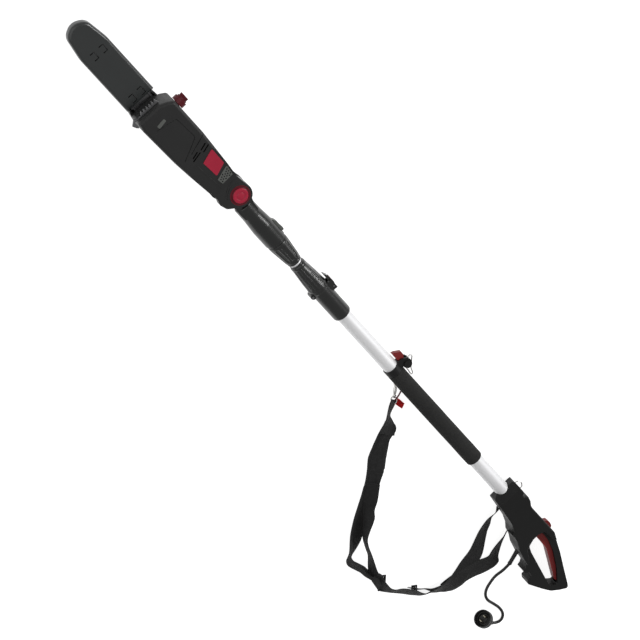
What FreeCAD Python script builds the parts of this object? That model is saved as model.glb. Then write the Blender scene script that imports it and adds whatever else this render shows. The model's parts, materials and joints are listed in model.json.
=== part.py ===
import FreeCAD, Part

import math
import os

from FreeCAD import Placement, Rotation, Vector

# Corded telescoping pole saw, collapsed, lying on its right side on the floor.
# Millimetres.  +X runs from the saw head to the rear handle, +Y is the tool's top side
# (oil cap, levers, lock-off button), +Z is up.  The origin is on the floor under the head's
# tilt axis.

os.makedirs("parts", exist_ok=True)
doc = FreeCAD.newDocument("PoleSaw")

# ---------------------------------------------------------------- driving dimensions

DIMENSIONS = [
    ("axis_height", 29.0),        # pole axis above the floor
    ("tube_radius", 16.0),        # outer aluminium tube, 32 mm across
    ("tube_bore", 14.5),
    ("inner_radius", 13.5),       # sliding tube, 27 mm across
    ("inner_bore", 12.3),
    ("slide_bore", 13.57),        # collar and nut bores that the inner tube runs in
    ("foam_radius", 18.8),
    ("pivot_y", 8.0),             # tilt axis above the pole axis
    ("ear_radius", 26.0),
    ("neck_ear_radius", 25.5),
    ("pin_radius", 5.0),
    ("pin_bore", 5.06),
    ("bar_y", -10.0),             # centre line of the guide bar
    ("bar_low", 11.4),            # underside of the bar
    ("bar_thickness", 3.2),
    ("cover_height", 20.0),       # sprocket cover
    ("split_height", 42.0),       # parting plane of the head shells
    ("head_height", 75.0),
    ("ear_low", 45.0),            # left ear of the tilt hinge
    ("ear_top", 62.0),
    ("right_ear_top", 13.0),
    ("wall", 3.0),
    ("knob_radius", 17.6),
    ("cap_radius", 14.5),
    ("trunk_half", 28.7),         # handle trunk, half thickness
    ("grip_half", 16.5),          # handle ring, half thickness
    ("trigger_width", 18.0),
    ("cord_radius", 3.25),
    ("plug_radius", 20.0),
    ("web_thickness", 2.6),
    ("wire_radius", 1.3),
]

sheet = doc.addObject("Spreadsheet::Sheet", "Sizes")
for row, (alias, value) in enumerate(DIMENSIONS, start=1):
    sheet.set("A%d" % row, alias)
    sheet.set("B%d" % row, str(value))
    sheet.setAlias("B%d" % row, alias)
doc.recompute()
SIZE = dict(DIMENSIONS)

AXIS_Z = SIZE["axis_height"]
PIVOT = (0.0, SIZE["pivot_y"])
SPROCKET = (-195.0, SIZE["bar_y"])
NODES = []


# ---------------------------------------------------------------- building helpers

def bind(obj, **expressions):
    """Tie properties to cells of the sheet; a plain number is set as it is."""
    for prop, text in expressions.items():
        if isinstance(text, str):
            obj.setExpression(prop, text)
        else:
            setattr(obj, prop, text)


def add(kind, name):
    return doc.addObject(kind, name)


def cylinder(name, radius, height, at, direction=(0, 0, 1)):
    obj = add("Part::Cylinder", name)
    bind(obj, Radius=radius, Height=height)
    obj.Placement = Placement(Vector(*at), Rotation(Vector(0, 0, 1), Vector(*direction)))
    return obj


def cone(name, start_radius, end_radius, height, at, direction=(1, 0, 0)):
    obj = add("Part::Cone", name)
    bind(obj, Radius1=start_radius, Radius2=end_radius, Height=height)
    obj.Placement = Placement(Vector(*at), Rotation(Vector(0, 0, 1), Vector(*direction)))
    return obj


def box(name, low, high):
    obj = add("Part::Box", name)
    obj.Length, obj.Width, obj.Height = [b - a for a, b in zip(low, high)]
    obj.Placement = Placement(Vector(*low), Rotation())
    return obj


def torus(name, ring_radius, wire_radius, at, direction=(0, 0, 1)):
    obj = add("Part::Torus", name)
    bind(obj, Radius1=ring_radius, Radius2=wire_radius)
    obj.Placement = Placement(Vector(*at), Rotation(Vector(0, 0, 1), Vector(*direction)))
    return obj


def fuse(name, *objects):
    obj = add("Part::MultiFuse", name)
    obj.Shapes = list(objects)
    obj.Refine = True
    return obj


def cut(name, base, *tools):
    for count, tool in enumerate(tools, start=1):
        result = add("Part::Cut", name if count == len(tools) else "%s_step%d" % (name, count))
        result.Base = base
        result.Tool = tool
        result.Refine = True
        base = result
    return base


def common(name, one, other):
    obj = add("Part::Common", name)
    obj.Base = one
    obj.Tool = other
    return obj


def keep(label, obj):
    """Register an object as a sub-part: its Label names its file."""
    obj.Label = label
    NODES.append(obj)
    return obj


def group(name, *objects):
    """Several separate solids in one node."""
    obj = add("Part::Compound", name)
    obj.Links = list(objects)
    return obj


def along_x(name, start, end, radius):
    """A round bar on the pole axis from x = start to x = end."""
    obj = cylinder(name, radius, end - start, (start, 0, AXIS_Z), (1, 0, 0))
    obj.setExpression("Placement.Base.z", "Sizes.axis_height")
    return obj


def rounded(corners):
    """Edges of a closed outline.  A corner is (x, y) or (x, y, radius)."""
    points = [Vector(c[0], c[1], 0) for c in corners]
    radii = [c[2] if len(c) > 2 else 0.0 for c in corners]
    count = len(points)
    ends = []
    for i, point in enumerate(points):
        back = (points[i - 1] - point).normalize()
        ahead = (points[(i + 1) % count] - point).normalize()
        angle = back.getAngle(ahead)
        reach = radii[i] / math.tan(angle / 2) if radii[i] else 0.0
        middle = point
        if radii[i]:
            inward = (back + ahead).normalize()
            middle = point + inward * (radii[i] / math.sin(angle / 2) - radii[i])
        ends.append((point + back * reach, middle, point + ahead * reach))
    edges = []
    for i, (first, middle, last) in enumerate(ends):
        if radii[i]:
            edges.append(Part.Arc(first, middle, last))
        following = ends[(i + 1) % count][0]
        if (following - last).Length > 1e-6:
            edges.append(Part.LineSegment(last, following))
    return edges


def channel(points, width):
    """A narrow closed outline that follows an open line of points."""
    half = width / 2
    sides = {1: [], -1: []}
    for i, (x, y) in enumerate(points):
        before = Vector(*points[max(i - 1, 0)], 0)
        after = Vector(*points[min(i + 1, len(points) - 1)], 0)
        run = (after - before).normalize()
        for side in sides:
            sides[side].append((x - run.y * half * side, y + run.x * half * side))
    return sides[1] + sides[-1][::-1]


def origin_plane(body, role):
    return [f for f in body.Origin.OriginFeatures if f.Role == role][0]


def draw(body, name, outlines, role="XY_Plane"):
    """A sketch on the body's own plane.  An outline is a corner list or a circle."""
    sketch = body.newObject("Sketcher::SketchObject", name)
    sketch.AttachmentSupport = [(origin_plane(body, role), "")]
    sketch.MapMode = "FlatFace"
    for outline in outlines:
        if isinstance(outline, dict):
            x, y = outline["centre"]
            circle = Part.Circle(Vector(x, y, 0), Vector(0, 0, 1), outline["radius"])
            sketch.addGeometry(circle, False)
        else:
            sketch.addGeometry(rounded(outline), False)
    return sketch


def circle(centre, radius):
    return {"centre": centre, "radius": radius}


def new_body(name, low="0", at=(0, 0)):
    """A body whose local floor is raised to a height given by an expression."""
    body = add("PartDesign::Body", name)
    body.Placement = Placement(Vector(at[0], at[1], 0), Rotation())
    body.setExpression("Placement.Base.z", low)
    return body


def shift(sketch, height):
    """Move a sketch up from its plane, by a number or an expression."""
    sketch.AttachmentOffset = Placement(Vector(0, 0, 0), Rotation())
    sketch.setExpression("AttachmentOffset.Base.z", str(height))


def pad(body, name, outlines, length, start=0, down=False):
    sketch = draw(body, name + "_sketch", outlines)
    shift(sketch, start)
    feature = body.newObject("PartDesign::Pad", name)
    feature.Profile = sketch
    feature.Reversed = down
    feature.setExpression("Length", str(length))
    doc.recompute()
    return feature


def pocket(body, name, outlines, length, start=0, up=True):
    """Cut away material from height start, upwards unless told otherwise."""
    before = body.Shape.Volume
    sketch = draw(body, name + "_sketch", outlines)
    shift(sketch, start)
    feature = body.newObject("PartDesign::Pocket", name)
    feature.Profile = sketch
    feature.Reversed = up
    feature.setExpression("Length", str(length))
    doc.recompute()
    if not body.Shape.Volume < before - 1e-3:
        raise RuntimeError("pocket %s of %s cuts nothing" % (name, body.Name))
    return feature


def soften(body, name, radius, test, kind="PartDesign::Fillet"):
    """Round every edge of the tip that the test accepts, in the body's own heights."""
    base = body.Tip
    chosen = [
        "Edge%d" % (i + 1)
        for i, edge in enumerate(base.Shape.Edges)
        if test(edge.BoundBox)
    ]
    if not chosen:
        raise RuntimeError("%s of %s finds no edge" % (name, body.Name))
    feature = body.newObject(kind, name)
    feature.Base = (base, chosen)
    if kind == "PartDesign::Fillet":
        feature.Radius = radius
    else:
        feature.Size = radius
    doc.recompute()
    if not feature.isValid():
        raise RuntimeError("%s of %s failed" % (name, body.Name))
    return feature


def slant(body, name, outline):
    """Cut a prism that runs across the whole body, drawn in its XZ plane."""
    feature = body.newObject("PartDesign::Pocket", name)
    feature.Profile = draw(body, name + "_sketch", [outline], "XZ_Plane")
    feature.Type = 1
    feature.Midplane = True
    doc.recompute()


def at_height(z):
    return lambda b: abs(b.ZMin - z) < 1e-4 and abs(b.ZMax - z) < 1e-4


def spin(name, profile):
    """A body of revolution about the pole axis from (x, radius) corners."""
    body = new_body(name, "Sizes.axis_height")
    sketch = draw(body, name + "_sketch", [profile])
    feature = body.newObject("PartDesign::Revolution", name + "_turn")
    feature.Profile = sketch
    feature.ReferenceAxis = (sketch, ["H_Axis"])
    feature.Angle = 360
    doc.recompute()
    return body


# ---------------------------------------------------------------- saw head

HEAD_FRONT = -272.0
HEAD_BACK = -34.0
SLOPE_START = -130.0
SLOPE_DROP = SIZE["head_height"] - SIZE["ear_top"]
SLOPE_ANGLE = math.degrees(math.atan2(SLOPE_DROP, HEAD_BACK - SLOPE_START))

HEAD_OUTLINE = [
    (HEAD_FRONT, -44, 8), (-251, -48.5, 20), (-155, -45, 60), (-111, -41),
    (HEAD_BACK, -32.5, 3), (HEAD_BACK, 28.5, 3), (-75, 32), (-119, 34.7, 60),
    (-163, 37.3, 60), (-256, 37.3, 9), (-264, 26, 6), (HEAD_FRONT, 10, 10),
]
HEAD_INSIDE = [
    (-269, -40, 6), (-251, -44.5), (-155, -41), (-111, -37.5),
    (-38, -29, 3), (-38, 24.5, 3), (-75, 28), (-119, 31), (-163, 33.5),
    (-255, 33.5, 6), (-260.5, 25, 4), (-268.5, 8, 6),
]
EAR_OUTLINE = [
    (-60, -28), (-36, -31), (-24, -31.5, 8), (-14, -35, 7), (3, -30, 10), (16, -14),
    (16, 24), (1, 33.5), (-30, 29.5), (-60, 25),
]
SEAM = [(-162.5, 36.5), (-147, -9)]
PANEL_GROOVE = [(-235.5, -28), (-226.5, 15.8), (-172.5, 19.7), (-167.5, 15.5), (-144, -28.5)]
WINDOW = [(-245, -2, 2.5), (-238.3, -0.6, 2.5), (-234.8, -21, 2.5), (-242.5, -22.3, 2.5)]
VENT_LINES = [
    [(-145, 26.5), (-139.5, 10)], [(-138, 29.5), (-132.5, 11)],
    [(-142, 3), (-137, -12.5)], [(-137, 7), (-131.5, -16)],
]
MESH_OUTLINE = [(57, 28, 1.5), (82.5, 25.5, 1.5), (83.5, -2.1, 1.5), (68.4, -4.3, 1.5)]
MESH_WELL = [(-69.5, 25.5), (-50.5, 23.3), (-49.3, 0.3), (-60, -1.5)]
OUTER_ARC = [(-33, 27), (-35.5, 18), (-34.8, 10), (-31.5, 0), (-26, -8.5), (-18.6, -16.6)]
INNER_ARC = [(-15, 32), (-24, 22.5), (-28.5, 11), (-27, 0.5), (-21, -9), (-11, -17)]


def head_shell_left():
    """Upper shell with the vents, the panel groove and the hinge ear."""
    body = new_body("HeadShellLeft", "Sizes.split_height")
    pad(body, "LeftBlock", [HEAD_OUTLINE], "Sizes.head_height - Sizes.split_height")
    top = SIZE["head_height"] - SIZE["split_height"]
    soften(body, "LeftRound", 7.0, at_height(top))
    slant(body, "Slope", [
        (SLOPE_START, top), (HEAD_BACK + 1, top - SLOPE_DROP * 1.01),
        (HEAD_BACK + 1, top + 4), (SLOPE_START, top + 4),
    ])
    pocket(body, "LeftHollow", [HEAD_INSIDE],
           "Sizes.ear_top - Sizes.split_height - Sizes.wall - 1")
    pocket(body, "LeftHollowFront",
           [[(-268.5, -38), (-140, -38), (-140, 30), (-254, 30), (-260, 22), (-268, 6)]],
           "Sizes.head_height - Sizes.split_height - Sizes.wall")
    ear_low = "Sizes.ear_low - Sizes.split_height"
    ear_height = "Sizes.ear_top - Sizes.ear_low"
    pad(body, "EarArm", [EAR_OUTLINE], ear_height, ear_low)
    pad(body, "EarDisc", [circle(PIVOT, SIZE["ear_radius"])], ear_height, ear_low)
    pocket(body, "MotorRoom", [[(-140, -27), (-62, -25), (-62, 20), (-140, 20)]], 21)
    seat = "Sizes.ear_top - Sizes.split_height"
    pocket(body, "KnobWell", [circle(PIVOT, 21.5)], 12, seat, up=False)
    pocket(body, "PinHole", [circle(PIVOT, SIZE["pin_radius"])], 30, seat, up=False)
    head = "Sizes.head_height - Sizes.split_height"
    pocket(body, "PanelGroove", [channel(PANEL_GROOVE, 2.0)], 1.4, head, up=False)
    pocket(body, "SeamGroove", [channel(SEAM, 2.0)], 1.6, head, up=False)
    pocket(body, "WindowSeat", [WINDOW], 2, head, up=False)
    pocket(body, "Vents", [channel(line, 3.2) for line in VENT_LINES], 13, head, up=False)
    pocket(body, "MeshWell", [MESH_WELL], 14, head, up=False)
    arcs = [channel(OUTER_ARC, 1.5), channel(INNER_ARC, 1.5)]
    pocket(body, "ArcGrooves", arcs, 2, seat + " + 1", up=False)
    pad(body, "Tick", [channel([(-234.2, -38.2), (-230.9, -32.1)], 1.6)], 1.5, head + " - 1")
    rib = new_body("RibLine")
    pad(rib, "Rib", [channel([(12, -15), (54.5, -12.5), (90, -9)], 1.2)], 1.1, -0.5)
    lay_on_slope(rib)
    cap_hole = cylinder("CapHole", 10, 30, (-240, 20, 53), (0, 1, 0))
    return keep("head_shell_left", cut("HeadLeft", fuse("HeadLeftBlank", body, rib), cap_hole))


def head_shell_right():
    """Lower shell: motor bed, gear floor and the lower hinge ear."""
    body = new_body("HeadShellRight", "Sizes.cover_height + 0.2")
    rear = [(-148, -43.4), (-111, -40), (-35, -31.5, 3), (-35, 27.5, 3), (-75, 31),
            (-119, 33.5), (-148, 35)]
    floor = "-Sizes.cover_height - 0.2"
    pad(body, "RightRear", [rear], "Sizes.cover_height + 0.2", floor)
    soften(body, "RightRound", 2.5, at_height(-0.2 - SIZE["cover_height"]))
    pad(body, "RightBlock", [HEAD_OUTLINE],
        "Sizes.split_height - Sizes.cover_height - 0.2")
    pocket(body, "RightHollow", [HEAD_INSIDE], 30, 3)
    rear_room = [(-144, -38), (-111, -34), (-40, -27, 3), (-40, 23, 3), (-144, 30)]
    pocket(body, "RearRoom", [rear_room], 30, -15)
    pad(body, "LowerArm", [EAR_OUTLINE], "Sizes.right_ear_top", floor)
    pad(body, "LowerDisc", [circle(PIVOT, SIZE["ear_radius"])], "Sizes.right_ear_top", floor)
    pocket(body, "PinSeat", [circle(PIVOT, SIZE["pin_radius"])], 30, -17.2)
    pocket(body, "ShaftHole", [circle(SPROCKET, 13)], 10, -1)
    pocket(body, "StudHole", [circle((-235, SIZE["bar_y"]), 4)], 10, -1)
    cap_hole = cylinder("CapHoleLow", 10, 30, (-240, 20, 53), (0, 1, 0))
    return keep("head_shell_right", cut("HeadRight", body, cap_hole))


def sprocket_cover():
    """Flat cover over the sprocket, with the recess for the bar nut."""
    outline = [(-279, -43, 6), (-251, -48, 20), (-149, -44.6, 3), (-149, 36.3, 3),
               (-246, 36.3, 5), (-252, 31, 5), (-257, 21.5, 3), (-279, 20, 4)]
    inside = [(-275.5, -40, 4), (-251, -44.4), (-152.5, -41, 3), (-152.5, 32.5, 3),
              (-244, 32.5, 3), (-249, 29, 3), (-253, 18.2, 3), (-275.5, 17, 2)]
    body = new_body("SprocketCover")
    pad(body, "CoverPlate", [outline], "Sizes.cover_height")
    soften(body, "CoverRound", 3.0, at_height(0.0))
    pocket(body, "CoverHollow", [inside], 30, 7)
    stud = (-235, SIZE["bar_y"])
    pocket(body, "NutRecess", [circle(stud, 11)], 5, 0)
    pocket(body, "StudWay", [circle(stud, 4)], 8, 0)
    pocket(body, "BarMouth", [[(-285, -39), (-270, -39), (-270, 16), (-285, 16)]], 12, 8)
    return keep("sprocket_cover", body)


BAR_NOSE_X = -458.0
BAR_HALF = 19.0
CHAIN_DEPTH = 5.6


def guide_bar():
    """Steel bar with a round nose, a stud slot and tensioner holes."""
    y = SIZE["bar_y"]
    tail = -213.0
    outline = [(tail, y - 13, 5), (tail - 22, y - BAR_HALF, 12),
               (BAR_NOSE_X - BAR_HALF, y - BAR_HALF, BAR_HALF - 0.01),
               (BAR_NOSE_X - BAR_HALF, y + BAR_HALF, BAR_HALF - 0.01),
               (tail - 22, y + BAR_HALF, 12), (tail, y + 13, 5)]
    slot = [(-252, y - 4.05, 4), (-222, y - 4.05, 4), (-222, y + 4.05, 4), (-252, y + 4.05, 4)]
    body = new_body("GuideBar", "Sizes.bar_low")
    pad(body, "BarPlate", [outline, slot], "Sizes.bar_thickness")
    holes = [circle((-244, y + side * 12), 3) for side in (-1, 1)]
    pocket(body, "OilHoles", holes, 10, -1)
    return keep("guide_bar", body)


def saw_chain():
    """Closed chain round the bar, with a row of cutters on both long runs."""
    y = SIZE["bar_y"]
    inner = BAR_HALF + 0.3
    outer = BAR_HALF + CHAIN_DEPTH
    tail_x = SPROCKET[0]
    pitch = 19.0
    count = 11
    top_run = []
    for i in range(count):
        x = -238.0 - pitch * i
        top_run += [(x, y + outer - 1.6), (x - 1.0, y + outer + 1.2),
                    (x - 7.0, y + outer + 0.4), (x - 8.0, y + outer - 1.6)]
    bottom_run = [(x, 2 * y - top) for x, top in reversed(top_run)]
    nose_x = BAR_NOSE_X - outer
    band = ([(tail_x + 20.4, y + 18.0, 14)] + top_run
            + [(nose_x, y + outer - 1.6, outer - 1.7), (nose_x, y - outer + 1.6, outer - 1.7)]
            + bottom_run + [(tail_x + 20.4, y - 18.0, 14)])
    hole = [(tail_x + 15.6, y + 15.6, 15.4), (-235, y + inner, 10),
            (BAR_NOSE_X - inner, y + inner, inner - 0.1),
            (BAR_NOSE_X - inner, y - inner, inner - 0.1),
            (-235, y - inner, 10), (tail_x + 15.6, y - 15.6, 15.4)]
    body = new_body("SawChain", "Sizes.bar_low - 1.6")
    pad(body, "ChainBand", [band, hole], "Sizes.bar_thickness + 3.2")
    return keep("saw_chain", body)


def drive_train():
    """Sprocket, output gear with its shaft, bearing, motor and pinion."""
    teeth = []
    tooth_count = 6
    for i in range(tooth_count * 2):
        radius = 15.0 if i % 2 else 10.5
        angle = math.pi * i / tooth_count
        teeth.append((SPROCKET[0] + radius * math.cos(angle),
                      SPROCKET[1] + radius * math.sin(angle), 1.5))
    body = new_body("DriveSprocket", "Sizes.bar_low - 1.4")
    pad(body, "SprocketTeeth", [teeth, circle(SPROCKET, 5)], "Sizes.bar_thickness + 2.8")
    keep("drive_sprocket", body)
    bearing = new_body("OutputBearing", "Sizes.cover_height + 0.6")
    pad(bearing, "Race", [circle(SPROCKET, 13), circle(SPROCKET, 5.05)], 8)
    keep("output_bearing", bearing)
    crown_teeth = []
    crown_count = 36
    for i in range(crown_count * 2):
        radius = 27.0 if i % 2 else 25.2
        angle = math.pi * i / crown_count
        crown_teeth.append((SPROCKET[0] + radius * math.cos(angle),
                            SPROCKET[1] + radius * math.sin(angle)))
    crown = new_body("CrownGear", "Sizes.cover_height + 9.6")
    pad(crown, "CrownTeeth", [crown_teeth], 6)
    shaft = cylinder("OutputShaft", 5, 27, (*SPROCKET, 8.5))
    keep("output_gear", fuse("OutputGear", crown, shaft))
    motor_y = SPROCKET[1] + 5.0
    motor_z = 42.0
    can = cylinder("CanOuter", 20, 70, (-136, motor_y, motor_z), (1, 0, 0))
    room = cylinder("CanRoom", 18, 66, (-134, motor_y, motor_z), (1, 0, 0))
    bore = cylinder("CanBore", 4.05, 80, (-140, motor_y, motor_z), (1, 0, 0))
    keep("motor_can", cut("MotorCan", can, room, bore))
    shaft = cylinder("ArmatureShaft", 4, 118, (-178, motor_y, motor_z), (1, 0, 0))
    core = cylinder("ArmatureCore", 16.5, 52, (-127, motor_y, motor_z), (1, 0, 0))
    keep("motor_armature", fuse("MotorArmature", shaft, core))
    pinion_teeth = []
    pinion_count = 9
    for i in range(pinion_count * 2):
        radius = 6.2 if i % 2 else 5.0
        angle = math.pi * i / pinion_count
        pinion_teeth.append((radius * math.cos(angle), radius * math.sin(angle)))
    pinion = new_body("MotorPinion")
    pad(pinion, "PinionTeeth", [pinion_teeth, circle((0, 0), 4)], 10)
    pinion.setExpression("Placement.Base.z", None)
    pinion.Placement = Placement(Vector(-178, motor_y, motor_z), Rotation(Vector(0, 1, 0), 90))
    keep("motor_pinion", pinion)


def bar_fixings():
    """Stud and hex nut that clamp the bar."""
    stud = (-235, SIZE["bar_y"])
    keep("bar_stud", cylinder("BarStud", 4, 27, (*stud, 3)))
    nut = new_body("BarNut")
    hexagon = [(stud[0] + 8.5 * math.cos(math.pi * i / 3),
                stud[1] + 8.5 * math.sin(math.pi * i / 3)) for i in range(6)]
    pad(nut, "NutHex", [hexagon, circle(stud, 4)], 4, 0.8)
    keep("bar_nut", nut)


def bumper_spikes():
    """Steel plate with a row of forward teeth and a claw at the lower corner."""
    front = [(-270, 14)]
    tooth = 7.0
    for i in range(6):
        y = 12 - tooth * i
        front += [(-274.5, y), (-283, y - tooth * 0.35), (-275.5, y - tooth)]
    claw = [(-275, -38), (-279, -47), (-270, -57), (-262, -53.5), (-258, -50.2),
            (-258, -48.9), (-272.3, -44.8), (-272.3, -33)]
    body = new_body("BumperSpikes", "56")
    pad(body, "SpikePlate", [front + claw], 3)
    holder = cut("SpikesTrimmed", body, box("SpikeLimit", (-272.2, -48.2, 50), (-200, 30, 70)))
    return keep("bumper_spikes", holder)


def oil_system():
    """Tank, pump, sight window and the turning cap with its tab."""
    tank = box("TankOuter", (-258, -19, 48), (-192, 21, 71.5))
    room = box("TankRoom", (-256, -17, 50), (-194, 19, 69.5))
    neck = cylinder("TankNeck", 9.5, 16, (-240, 20, 53), (0, 1, 0))
    way = cylinder("TankWay", 7, 24, (-240, 14, 53), (0, 1, 0))
    keep("oil_tank", cut("OilTank", fuse("TankBody", tank, neck), room, way))
    keep("oil_pump", box("OilPump", (-257, -2, 26), (-237, 19, 42)))
    window = new_body("OilWindow", "Sizes.head_height - 2")
    pad(window, "WindowPane", [WINDOW], 2.6)
    keep("oil_window", window)
    skirt = cylinder("CapSkirt", "Sizes.cap_radius", 11, (-240, 38, 53), (0, 1, 0))
    stem = cylinder("CapStem", 6.95, 12, (-240, 27, 53), (0, 1, 0))
    rim = cylinder("CapRim", 11.5, 4, (-240, 48.5, 53), (0, 1, 0))
    tab = box("CapTab", (-250, 51, 51.2), (-230, 59, 54.8))
    keep("oil_cap", fuse("OilCap", skirt, stem, rim, tab))


def lay_on_slope(body):
    """Set a flat body down on the sloping rear face of the left shell."""
    body.setExpression("Placement.Base.z", None)
    body.Placement = Placement(Vector(SLOPE_START, 0, SIZE["head_height"] + 0.02),
                               Rotation(Vector(0, 1, 0), SLOPE_ANGLE))


def face_panels():
    """Plain red badge plate and the grey diamond mesh, both on the sloping face."""
    badge = new_body("BadgePlate")
    pad(badge, "Badge", [[(4.1, 28, 2), (48, 27.6, 2), (60, -0.4, 2), (15.8, -3.3, 2)]], 1.0)
    lay_on_slope(badge)
    keep("badge_plate", badge)
    mesh = new_body("VentMesh")
    holes = []
    for row in range(6):
        for column in range(4):
            x = 60.8 + 6.2 * column + (3.1 if row % 2 else 0)
            y = 0.6 + 4.6 * row
            left_edge = 57 + (28 - y) * 0.35
            if left_edge + 3.2 < x < 80.5:
                holes.append([(x - 2.3, y), (x, y - 2.2), (x + 2.3, y), (x, y + 2.2)])
    pad(mesh, "Mesh", [MESH_OUTLINE] + holes, 0.9)
    lay_on_slope(mesh)
    keep("vent_mesh", mesh)


def tilt_knob():
    """Push knob that frees the tilt, its bezel, spring and the hinge pin."""
    bezel = new_body("KnobBezel", "Sizes.ear_top - 12")
    pad(bezel, "Bezel", [circle(PIVOT, 21.4), circle(PIVOT, 18.0)], 12.6)
    keep("knob_bezel", bezel)
    knob = new_body("TiltKnob", "Sizes.ear_top - 6.5")
    pad(knob, "KnobDisc", [circle(PIVOT, SIZE["knob_radius"])], 10.5)
    soften(knob, "KnobRound", 2.0, at_height(10.5))
    pocket(knob, "KnobRing", [circle(PIVOT, 9.0), circle(PIVOT, 7.5)], 1, 10.5, up=False)
    keep("tilt_knob", knob)
    spring = new_body("TiltSpring", "Sizes.ear_top - 11.9")
    pad(spring, "Coil", [circle(PIVOT, 11), circle(PIVOT, 9.5)], 5.3)
    keep("tilt_spring", spring)
    keep("pivot_pin", cylinder("PivotPin", "Sizes.pin_radius", 45.8, (*PIVOT, 4.2)))


def head_screws():
    """Four screws that hold the sprocket cover to the lower shell."""
    places = [(-243, 27), (-200, 29), (-158, 29), (-158, -37)]
    screws = [cylinder("HeadScrew%d" % i, 2.6, 13.2, (x, y, 7))
              for i, (x, y) in enumerate(places)]
    keep("head_screws", group("HeadScrews", *screws))


def scabbard():
    """Plastic sheath over the bar, open at its rear end, with four snap tongues."""
    outline = [(-281, 24.6), (-428, 24.2, 70), (-483, 16, 24), (-498, -10.5, 26),
               (-483, -36.5, 24), (-428, -44.8, 70), (-281, -44.8)]
    inside = [(-275, 20.6), (-428, 20.2), (-480, 12, 20), (-491.5, -10.5, 22),
              (-480, -32.5, 20), (-428, -40.8), (-275, -40.8)]
    body = new_body("Scabbard", "2.5")
    pad(body, "Sheath", [outline], 20.5)
    soften(body, "SheathTop", 7.0, at_height(20.5))
    soften(body, "SheathFloor", 3.5, at_height(0.0))
    hollow = new_body("ScabbardRoom", "5.5")
    pad(hollow, "Room", [inside], 14.5)
    tongues = []
    for x in (-426, -305):
        for y in (3, -19.5):
            tongues.append(channel([(x, y - 5), (x, y + 5), (x + 16, y + 5), (x + 16, y - 5)], 2.6))
    slits = new_body("ScabbardSlits", "19")
    pad(slits, "Slits", tongues, 8)
    return keep("scabbard", cut("ScabbardCut", body, hollow, slits))


# ---------------------------------------------------------------- neck and inner tube

NECK_START = 33.0
NECK_END = 150.0


def neck_blank(name):
    """Barrel and hinge ear of the neck as one shape, before it is split."""
    barrel = spin(name + "Barrel", [
        (NECK_START, 0), (NECK_START, 17, 3), (36, 20.5, 3), (68, 20.8, 30), (100, 23.4, 30),
        (144, 23.4), (145, 22.2), (148, 22.2), (148.6, 21.2), (NECK_END, 21.2),
        (NECK_END, 17.5), (176, 17.5), (176, 0)])
    ear = new_body(name + "Ear", "Sizes.axis_height - 15.5")
    pad(ear, name + "Arm", [[(0, 33.4), (42, 18.5), (60, 17), (60, -17), (42, -18), (2, -17.4)]], 31)
    pad(ear, name + "Disc", [circle(PIVOT, SIZE["neck_ear_radius"])], 31)
    blank = fuse(name + "Blank", barrel, ear)
    bore = along_x(name + "Bore", 95, 200, "Sizes.inner_radius")
    pin_way = cylinder(name + "PinWay", "Sizes.pin_bore", 60, (*PIVOT, 0))
    latch_way = box(name + "LatchWay", (99, 20.2, AXIS_Z - 6.2), (144, 40, AXIS_Z + 6.2))
    lead_way = along_x(name + "LeadWay", 40, 100, 8)
    return cut(name + "Bored", blank, bore, pin_way, latch_way, lead_way)


def neck_shells():
    for side, name in ((1, "neck_shell_left"), (-1, "neck_shell_right")):
        plain = name.replace("_", " ").title().replace(" ", "")
        low = AXIS_Z if side > 0 else AXIS_Z - 60
        half = box(plain + "Half", (-60, -60, low), (200, 60, low + 60))
        keep(name, common(plain, neck_blank(plain), half))


def neck_latch():
    """Sliding catch on top of the neck."""
    body = new_body("NeckLatch", "Sizes.axis_height")
    sketch = draw(body, "LatchSketch", [[
        (102, 20.4), (138, 20.4), (138, 27.5, 1.5), (133, 28.8, 1.5), (124, 27), (112, 27.4, 6),
        (102, 22.4, 2)]])
    feature = body.newObject("PartDesign::Pad", "LatchPad")
    feature.Profile = sketch
    feature.Midplane = True
    feature.Length = 12
    doc.recompute()
    return keep("neck_latch", body)


def coupling_nut():
    """Tapered hand nut on the neck's spigot, with four grip windows."""
    body = spin("CouplingNut", [
        (150.6, 17.56), (150.6, 22, 1.2), (156, 22.3), (205, 16.8), (206, 16.2), (212.8, 15.6, 1),
        (212.8, 13.57), (176.6, 13.57), (176.6, 17.56)])
    reach = 20.0
    windows = []
    for i in range(4):
        window = box("GripWindow%d" % i, (0, 0, 0), (40, 10, 10))
        turn = Placement(Vector(158, 0, AXIS_Z), Rotation(Vector(1, 0, 0), 90 * i))
        window.Placement = turn.multiply(Placement(Vector(0, -5, reach), Rotation()))
        windows.append(window)
    return keep("coupling_nut", cut("NutCut", body, *windows))


def inner_tube():
    outer = along_x("InnerOuter", 95, 860, "Sizes.inner_radius")
    bore = along_x("InnerBore", 90, 870, "Sizes.inner_bore")
    keep("inner_tube", cut("InnerTube", outer, bore))
    bush = along_x("BushOuter", 838, 860, "Sizes.tube_bore - 0.06")
    keep("tube_bush", cut("TubeBush", bush, along_x("BushBore", 830, 870, "Sizes.inner_radius")))


# ---------------------------------------------------------------- pole and clamp collar

def outer_tube():
    outer = along_x("OuterTubeBar", 304, 1040, "Sizes.tube_radius")
    bore = along_x("OuterTubeBore", 300, 1045, "Sizes.tube_bore")
    keep("outer_tube", cut("OuterTube", outer, bore))


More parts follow.
